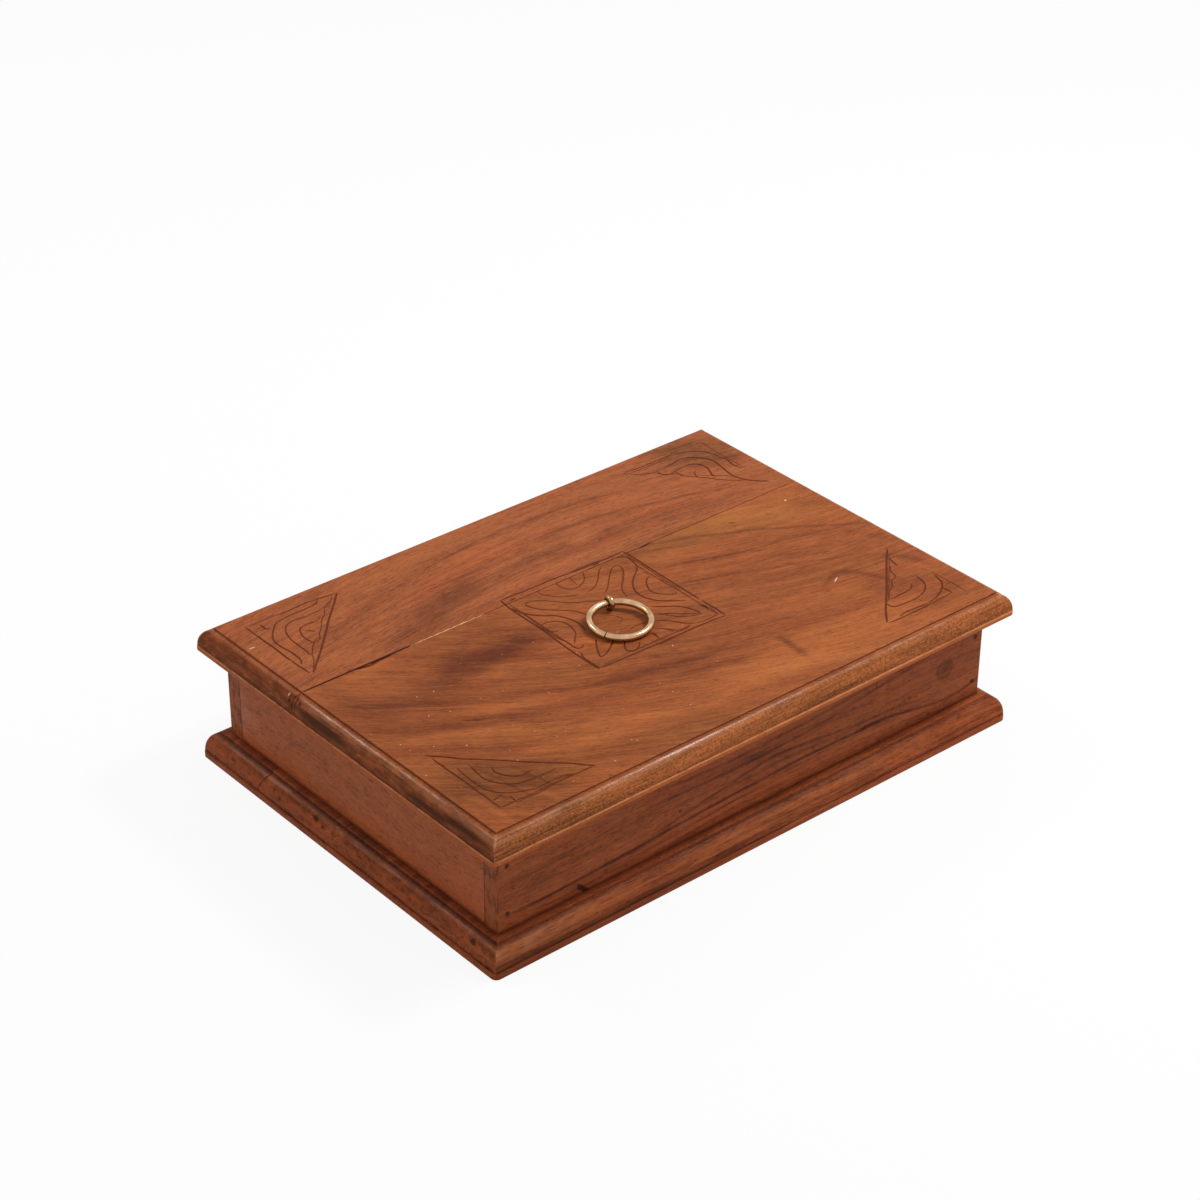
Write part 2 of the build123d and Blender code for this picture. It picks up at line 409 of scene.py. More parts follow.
class Paint:
    """A colour that is built up in layers."""

    def __init__(self, mix, mask, below, above):
        self.mix = mix
        self.colour = mix.blend(mask, deeper(below), deeper(above))

    def lay(self, mask, tone, factor=1.0, mode="MIX"):
        """Lays a tone times a factor, or what another paint has come to, where the mask is 1."""
        above = tone.colour if isinstance(tone, Paint) else deeper(tone, factor)
        self.colour = self.mix.blend(mask, self.colour, above, mode)


def deeper(colour, factor=1.0):
    """A colour times a number, worked out here."""
    return tuple(factor * part for part in colour[:3]) + (1.0,)


def new_bench(name):
    """Bench for a new material, with the object coordinates in millimetres at hand as here."""
    mix = Bench(bpy.data.materials.new(name))
    found = mix.node("ShaderNodeTexCoord", output=3)
    mix.here = mix.node("ShaderNodeVectorMath", {"operation": "SCALE"}, {0: found, "Scale": 1 / MM})
    return mix


# Wood


def hardwood(
    mix,
    tones,
    turn=(0, 0, 0),
    centre=(0, 0, 0),
    figure=None,
    bands=(180, 24, 24),
    band_share=0.5,
    streaks=(120, 4, 4),
    streak_share=0.5,
    fibre_share=0.5,
    pore_share=0.5,
    vein_share=0.5,
    sway=8.0,
    bow=0.0,
    even=0.3,
):
    """Paint, height in millimetres and pore mask of a varnished board.

    The tone is the sum of slow bands, streaks and fibres, which are noises stretched along the
    grain, and of a figure drawn for the board. Veins are the contour lines of one more such
    noise, and pores its finest peaks."""
    light, mid, dark = tones
    grain = mix.framed(mix.here, centre, turn)
    if bow:
        grain = bowed(mix, grain, bow)
    flow = mix.swayed(grain, (120, 60, 60), (0, sway, sway * 0.5), detail=2)
    band = mix.cloud(bands, (17, 5, 3), detail=2, rough=0.5, at=flow)
    streak = mix.cloud(streaks, (3, 40, 9), at=flow)
    fibre = mix.cloud((18, 0.8, 0.8), rough=0.7, at=flow)
    grit = mix.cloud((2.6, 0.75, 0.75), (1, 2, 3), detail=2, rough=0.7, at=flow)
    mottle = mix.cloud((9, 5, 5), (5, 8, 2), at=grain)
    tone = 0.5 + (band - 0.5) * (band_share * 2.0) + (streak - 0.5) * (streak_share * 1.5)
    tone = tone + (fibre - 0.5) * (fibre_share * 1.2) + (mottle - 0.5) * 0.5 + (grit - 0.5) * 0.5
    if figure:
        tone = tone + figure * (fibre * (1 - even) + streak * (1.3 - 1.3 * even) + even)
    paint = Paint(mix, tone.ramp(-0.08, 0.52), dark, mid)
    paint.lay(tone.ramp(0.5, 1.0), light)
    hue = mix.cloud((90, 16, 16), (80, 12, 31), detail=2, rough=0.5, at=flow)
    paint.lay(hue.rise(0.5, 0.75) * 0.5, GREENER, mode="MULTIPLY")
    paint.lay(hue.fall(0.28, 0.5) * 0.5, REDDER, mode="MULTIPLY")
    vein = mix.cloud((260, 16, 16), (50, 9, 4), detail=1.5, rough=0.45, at=flow)
    line = abs(vein - 0.5).fall(0.0, 0.01) * streak.fall(0.35, 0.6)
    paint.lay(line * vein_share, dark, 0.8)
    pores = mix.cloud((3.6, 0.36, 0.36), detail=1, rough=0.4, at=flow).rise(0.58, 0.7)
    paint.lay(pores * pore_share, dark, 0.75)
    height = (fibre - 0.5) * 0.016 - pores * 0.03
    return paint, height, pores


def bowed(mix, grain, bow):
    """The grain's frame bent so that its lines are bows: y becomes y + bow x^2."""
    x, y, z = mix.parts(grain)
    return mix.joined(x, x * x * bow + y, z)


def stroke(mix, where, tone, width, *points):
    """One soft stroke of the figure: its tone along a curve drawn through points of the plane.

    In the frame of its chord, from -1 to 1 along u, the curve is a polynomial v(u) of up to the
    fourth degree, fitted to the drawn points."""
    points = np.array(points, float)
    centre = (points[0] + points[-1]) / 2
    chord = points[-1] - points[0]
    half = np.linalg.norm(chord) / 2
    along = chord / (2 * half)
    offsets = points - centre
    u_drawn = offsets @ along / half
    v_drawn = offsets @ (-along[1], along[0]) / (width / 2)
    curve = np.polyfit(u_drawn, v_drawn, min(len(points) - 1, 4)).tolist()
    heading = math.degrees(math.atan2(along[1], along[0]))
    seen = mix.framed(where, (*centre, 0), (0, 0, heading), (half, width / 2, 1))
    u = mix.part(seen, 0)
    v = mix.part(seen, 1)
    level = u * curve[0] + curve[1]
    for factor in curve[2:]:
        level = level * u + factor
    fading = 0.0 if len(points) < 4 else 0.5
    return abs(v - level).fall(0.0, 1.5) * (u * u).fall(fading, 1.0) * tone


def summed(masks):
    """Sum of several masks."""
    total = masks[0]
    for mask in masks[1:]:
        total = total + mask
    return total


def drawn_figure(mix, where, strokes, size=(26, 9, 9), reach=(2.0, 1.6, 0)):
    """Sum of the strokes that give a board its figure, their edges frayed by noise."""
    frayed = mix.swayed(where, size, reach, detail=3)
    return summed([stroke(mix, frayed, *drawn) for drawn in strokes])


def varnished(mix, paint, height, pores, rough=0.4, coat=0.1):
    """Varnished wood: the height's bumps, slow waves of hand planing, and gloss that varies."""
    smear = mix.cloud((22, 14, 14), (9, 7, 5))
    return mix.finish(
        Base_Color=paint.colour,
        Roughness=pores * 0.15 + smear * 0.2 + (rough - 0.1),
        Specular_IOR_Level=VARNISH_SPECULAR,
        Coat_Weight=smear.fall(0.25, 0.8) * coat,
        Coat_Roughness=COAT_ROUGHNESS,
        Normal=mix.bump(height + smear * PLANING_WAVE),
    )


def edge_masks(mix, shoulder, ledge):
    """Measures of a moulded board.

    They are x, y and z, how far out from the flat a point lies, how far it is from a mitre, the
    masks of the moulding and of the short ends, and the degrees down the ovolo."""
    x, y, z = mix.parts(mix.here)
    out_x = abs(x) - FLAT_X
    out_y = abs(y) - FLAT_Y
    out = out_x.maths("MAXIMUM", out_y)
    aside = out_x - out_y
    drop = z.maths("MULTIPLY_ADD", -1 / (shoulder - ledge), shoulder / (shoulder - ledge))
    down = (1 - drop).maths("ARCCOSINE") * (180 / math.pi)
    return x, y, z, out, abs(aside), out.rise(-0.15, 0.25), aside.rise(-0.15, 0.15), down


def lid_material(name, look, rear, strokes):
    """Board of the lid: the figured top, stained cuts, scribed step and rubbed moulding, with painted
    highlights and painted shade.
    """
    mix = new_bench(name)
    here = mix.here
    if rear:
        tones = (look.rear_light, look.rear_mid, look.rear_dark)
        habit = dict(turn=(0, 0, -1), centre=(15, 70, 70), bands=(150, 16, 16), band_share=0.25)
        habit.update(streaks=(60, 2.6, 2.6), streak_share=0.4, fibre_share=0.8, pore_share=0.6)
        habit.update(vein_share=0.2, sway=6.0, bow=0.0007, even=0.9)
    else:
        tones = (look.front_light, look.front_mid, look.front_dark)
        habit = dict(turn=(0, 0, -24), centre=(0, -30, 70), bands=(170, 12, 12), band_share=0.25)
        habit.update(streaks=(120, 3.2, 3.2), streak_share=0.45, fibre_share=0.7, pore_share=0.5)
        habit.update(vein_share=0.2, sway=9.0, bow=-0.0011, even=0.9)
    figure = drawn_figure(mix, here, strokes)
    paint, height, pores = hardwood(mix, tones, figure=figure, **habit)
    measures = edge_masks(mix, LID_TOP - QUIRK, LID_LEDGE)
    x, y, z, out, off_mitre, moulding, ends, down = measures
    olive = drawn_figure(mix, here, OLIVE_TINTS)
    paint.lay(olive.maths("MINIMUM", 0.8), look.olive, mode="MULTIPLY")
    if not rear:
        ragged = mix.swayed(here, (6, 3, 3), (3, 1.5, 0))
        fresh = mix.spot(ragged, (-108, 30.2, 69), (14, 3.4, 4), edge=0.2)
        paint.lay(fresh * 0.5, look.patch)
    lines = mix.cloud((34, 34, 0.8), at=mix.swayed(here, (25, 25, 8), (0, 0, 0.7)))
    speckle = mix.cloud((1.3, 1.3, 1.0), rough=0.65).rise(0.46, 0.6)
    gold = mix.cloud((26, 26, 4), (4, 4, 4), rough=0.5).rise(0.3, 0.65)
    band = Paint(mix, gold, deeper(look.gold, 0.7), look.gold)
    ingrained = x.fall(-128, -60) * 0.4 + mix.spot(here, (36, -106, 62), (26, 6, 1.6), edge=0.1) * 0.6
    band.lay(lines.fall(0.36, 0.6) * (ingrained + 0.4), look.grime_and_shade, 1.6)
    band.lay(ingrained * 0.5, look.grime_and_shade, 1.8)
    band.lay(speckle * 0.5, look.grime_and_shade, 1.5)
    # Painted glints: bright specks of highlight on the golden band of the moulding
    glint = mix.cloud((1.1, 1.1, 0.8), (6, 6, 2), detail=2).rise(0.56, 0.68)
    band.lay(glint * 0.5, look.rim_wear_and_highlight)
    cloud = mix.cloud((6, 9, 3), (7, 7, 7), rough=0.65)
    brown = Paint(mix, cloud.rise(0.35, 0.62), deeper(look.plum, 0.48), deeper(look.plum, 0.94))
    ember = mix.cloud((4, 6, 2.5), (2, 1, 9)).rise(0.5, 0.68)
    brown.lay(ember * 0.6, look.patch)
    brown.lay(lines.fall(0.35, 0.6) * 0.45, look.grime_and_shade, 1.3)
    # Painted shade: dark stretches low on the left moulding, in the places listed in LID_END_SHADOWS
    shade_warp = mix.swayed(here, (9, 12, 5), (0.6, 6, 0.5), detail=2)
    shadows = [mix.spot(shade_warp, centre, size, edge=edge) for centre, size, edge in LID_END_SHADOWS]
    brown.lay(summed(shadows).maths("MINIMUM", 1.0) * 0.95, look.grime_and_shade, 0.75)
    band.lay(ends, brown)
    paint.lay(moulding * down.rise(12, 32) * 0.85, band)
    # Painted shade: the bottom of the ovolo, where it turns under, is darkened
    painted_foot_shade = down.rise(70, 88) * down.fall(89.5, 90) * moulding
    paint.lay(painted_foot_shade * 0.25, look.grime_and_shade)
    lip = z.fall(LID_LEDGE - 0.1, LID_LEDGE) * out.rise(5.5, 6.0)
    paint.lay(lip * 0.5, look.patch)
    # The mitres are lightened up the ovolo: partly rubbed wood, partly painted highlight
    mitre = off_mitre.fall(0.0, 1.3) * moulding
    broken = mix.cloud((5, 5, 2)).rise(0.3, 0.6) * 0.7 + 0.3
    paint.lay(mitre * broken * down.fall(40, 75) * 0.45, look.rim_wear_and_highlight)
    # The lip's upper edge gets a bright broken line: painted highlight, partly rubbed wood
    rim_wear_and_highlight = abs(z - LID_LEDGE + 0.1).fall(0.12, 0.4) * out.rise(5.8, 6.3)
    paint.lay(rim_wear_and_highlight * broken * 0.65, look.rim_wear_and_highlight)
    # Dark line at the bottom of the step along the flat: staining with painted shade
    scribed = abs(out - 0.05).fall(0.03, 0.2) * z.fall(LID_TOP - 0.3, LID_TOP - 0.1)
    paint.lay(scribed * 0.7, look.stain_and_shade)
    top_cut = z.fall(LID_TOP - 0.3, LID_TOP - 0.03) * out.fall(-0.6, -0.3) * z.rise(61, 62)
    faint = mix.spot(here, (-115, -75, LID_TOP), (40, 34, 10))
    paint.lay(top_cut * (0.85 - faint * 0.35), look.stain_and_shade)
    opened = x.fall(JOINT_OPEN_TO - 2, JOINT_OPEN_TO + 2)
    open_joint = abs(y - LID_JOINT).fall(0.3, 0.9) * opened * out.fall(-0.6, -0.3)
    paint.lay(open_joint * 0.75, look.grime_and_shade)
    for tone, centre, size in LID_EDGE_MARKS:
        paint.lay(mix.spot(here, centre, size) * 0.9, getattr(look, tone))
    for tone, centre, size, turn in LID_MARKS:
        mark = mix.spot(here, (*centre, LID_TOP), (*size, 2), turn)
        paint.lay(mark * 0.85, getattr(look, tone))
    if not rear:
        paint.lay(dust(mix) * z.rise(LID_TOP - 0.2, LID_TOP - 0.05), look.speck)
    # Painted highlight: a broken light band along the crown of the moulding, where the coat also shines
    shine = lines.rise(0.3, 0.6) * (1 - ends * y.rise(22, 34)) * (x.fall(-60, 30) * 0.65 + 0.35)
    crown = moulding * down.rise(10, 22) * down.fall(34, 56) * shine
    paint.lay(crown * broken * 0.3, look.rim_wear_and_highlight)
    gloss = crown * 0.45 + mitre * down.fall(40, 70) * 0.3 + 0.015
    return varnished(mix, paint, height, pores, coat=gloss)


def dust(mix):
    """Mask of the few pale specks caught in the varnish of the lid's front left part."""
    bent = mix.swayed(mix.here, (40, 40, 40), (12, 12, 0))
    seen = mix.framed(bent, (3, 8, 0), (0, 0, 31), (17, 17, 200))
    far = mix.node("ShaderNodeTexVoronoi", {"voronoi_dimensions": "2D"}, {"Vector": seen, "Scale": 1.0})
    near_front = mix.spot(mix.here, (-70, -50, 69), (110, 70, 400), edge=0.7)
    bright = mix.cloud((30, 30, 30), (8, 2, 5), detail=2, rough=0.5).rise(0.4, 0.6) * 0.6 + 0.2
    return far.fall(0.01, 0.022) * near_front * bright


# Shapes


def catmull_rom(points, step):
    """Smooth line through points, sampled every step.

    Between two points it is the cubic that leaves each along the chord of its neighbours."""
    knots = np.asarray(points, float)
    padded = np.vstack([2 * knots[0] - knots[1], knots, 2 * knots[-1] - knots[-2]])
    count = len(knots) - 1
    t = np.linspace(0, count, 24 * count + 1)
    i = np.minimum(t.astype(int), count - 1)
    u = (t - i)[:, None]
    a, b, c, d = (padded[i + k] for k in range(4))
    bend = (2 * a - 5 * b + 4 * c - d) * u**2
    dense = 0.5 * (2 * b + (c - a) * u + bend + (3 * b - 3 * c + d - a) * u**3)
    run = np.concatenate([[0], np.cumsum(np.linalg.norm(np.diff(dense, axis=0), axis=1))])
    places = np.linspace(0, run[-1], max(3, int(run[-1] / step) + 2))
    return np.stack([np.interp(places, run, dense[:, k]) for k in range(dense.shape[1])], axis=1)


def carried(name, path, across, up, section, swell):
    """Closed mesh of a section carried along a path.

    Point (s, k) is path(s) + swell(s) times (section_x(k) across(s) + section_y(k) up(s)), and the
    two ends are closed with flat caps."""
    section = np.asarray(section, float)
    wide, tall = (section[None, :, k] * swell[:, None] for k in range(2))
    grid = path[:, None] + wide[..., None] * across[:, None] + tall[..., None] * up[:, None]
    rows, columns = grid.shape[:2]
    row, column = np.meshgrid(np.arange(rows - 1), np.arange(columns), indexing="ij")
    following = (column + 1) % columns
    corners = [row * columns + column, row * columns + following]
    corners += [(row + 1) * columns + following, (row + 1) * columns + column]
    quads = np.stack(corners, axis=-1).reshape(-1, 4)
    caps = [list(range(columns))[::-1], list(range((rows - 1) * columns, rows * columns))]
    mesh = bpy.data.meshes.new(name)
    mesh.from_pydata((grid.reshape(-1, 3) * MM).tolist(), [], quads.tolist() + caps)
    mesh.update()
    return mesh


# How far a cutter stands out of the wood, its width at the bottom of the V as a share of that at the
# top, and the length over which most cuts run out at their ends
CUT_TOP = 0.5
BLUNT = 0.25
TAPER = 3


def surface_cutter(path, normals, width, depth, taper=TAPER):
    """V cut carried along a line on a surface, narrow and shallow at its ends.

    The swell of a section is 0.3 + 0.7 times the root of its distance to the nearer end over the
    taper, and 1 past the taper."""
    along = np.gradient(path, axis=0)
    along /= np.linalg.norm(along, axis=1)[:, None]
    up = np.broadcast_to(np.asarray(normals, float), path.shape)
    across = np.cross(along, up)
    across /= np.linalg.norm(across, axis=1)[:, None]
    run = np.concatenate([[0], np.cumsum(np.linalg.norm(np.diff(path, axis=0), axis=1))])
    ends = np.clip(np.minimum(run, run[-1] - run) / taper, 0, 1)
    swell = 0.3 + 0.7 * np.sqrt(ends)
    half = width / 2
    slope = half * CUT_TOP / depth
    section = [(-half - slope, CUT_TOP), (half + slope, CUT_TOP), (half, 0)]
    section += [(half * BLUNT, -depth), (-half * BLUNT, -depth), (-half, 0)]
    return carried("cut", path, across, up, section, swell)


def down_ovolo(offsets, top, ledge):
    """Path and normals down the ovolo at the left end, with y from the offsets in turn.

    At angle a the point is x = -(flat + reach sin a), z = ledge + rise cos a."""
    rise = top - QUIRK - ledge
    share = np.linspace(0, 1, OVOLO_STEPS)
    a = share * math.pi / 2
    y = np.interp(share, np.linspace(0, 1, len(offsets)), offsets)
    path = np.stack([-(FLAT_X + OVOLO_REACH * np.sin(a)), y, ledge + rise * np.cos(a)], axis=1)
    normals = np.stack([-np.sin(a) / OVOLO_REACH, 0 * a, np.cos(a) / rise], axis=1)
    return path, normals / np.linalg.norm(normals, axis=1)[:, None]


# Close-up views in which the carving was drawn: the pixel of the photograph at the view's corner, and
# how many pixels of the view make one of the photograph
VIEWS = {
    "left of square": (440, 560, 9.8),
    "back of square": (560, 540, 11.2),
    "near of square": (540, 620, 9.8),
    "right of square": (620, 600, 10.453),
    "left corner": (230, 580, 13.067),
    "near corner": (420, 740, 8.2526),
    "right corner": (870, 530, 13.067),
    "back corner": (610, 430, 8.711),
    "lid left": (330, 580, 5.058),
}

# Edge of the chip beside the joint, in the view of the lid's left part
CHIP = [(85, 462), (150, 446), (205, 430), (240, 408), (290, 385), (350, 352)]

# Cracks of the left mouldings: y at equal steps down the ovolo
LID_CRACKS = [
    (33.2, 33.8, 34.6, 34.2, 35.4, 36.0),
    (33.4, 33.0, 32.2, 32.6, 31.8, 31.4),
]
BASE_CRACKS = [(60.0, 59.2, 60.8, 62.0, 63.4, 64.6)]

# Dark dots on the left moulding of the base: centre and half axes
BASE_DOTS = [
    ((-149.5, 22, 10.5), (2.4, 2.4, 2.0)),
    ((-149.0, 16.5, 8.5), (2.2, 1.8, 1.8)),
    ((-148.5, -1, 10.0), (2.2, 3.0, 1.4)),
    ((-150.0, 48, 7.0), (2.0, 1.6, 1.6)),
    ((-149.5, -90, 9.5), (2.6, 3.2, 1.6)),
    ((-149.5, -70, 6.0), (2.4, 4.0, 1.2)),
    ((-149.5, 84, 8.5), (2.4, 3.0, 1.6)),
]

# Specks and dents on the lid's top: tone, centre, half axes and turn in degrees
LID_MARKS = [
    ("speck", (96.9, -46.4), (3.0, 0.4), 31),
    ("speck", (-142.3, 76.0), (2.2, 0.4), -3),
    ("speck", (129.3, 22.0), (0.8, 0.7), 0),
    ("grime_and_shade", (34.8, -25.4), (3.0, 1.3), -71),
    ("grime_and_shade", (-28.2, 34.6), (2.6, 0.7), 0),
    ("grime_and_shade", (21, 34.3), (2.8, 0.8), -6),
    ("grime_and_shade", (94.9, 22.4), (2.1, 0.6), -25),
    ("grime_and_shade", (49.2, 32.7), (5.0, 0.9), 8),
]

# Painted shade in dark stretches of the lid's left moulding: centre, half axes and softness
LID_END_SHADOWS = [
    ((-151, 12, 63.8), (9, 25, 2.9), 0.4),
    ((-151, -62, 62.8), (9, 24, 2.2), 0.3),
    ((-150.4, -86, 64.8), (9, 22, 2.4), 0.3),
]

# Filler and pits where the joint meets the left moulding: tone, centre and half axes
LID_EDGE_MARKS = [
    ("filler", (-149.6, 38.4, 67.2), (1.6, 0.8, 1.0)),
    ("grime_and_shade", (-150.2, 36.6, 65.2), (1.8, 1.1, 1.3)),
    ("grime_and_shade", (-150.0, 29.6, 66.6), (1.8, 1.6, 1.2)),
    ("grime_and_shade", (-151.0, 33.8, 63.2), (1.8, 0.9, 2.4)),
]

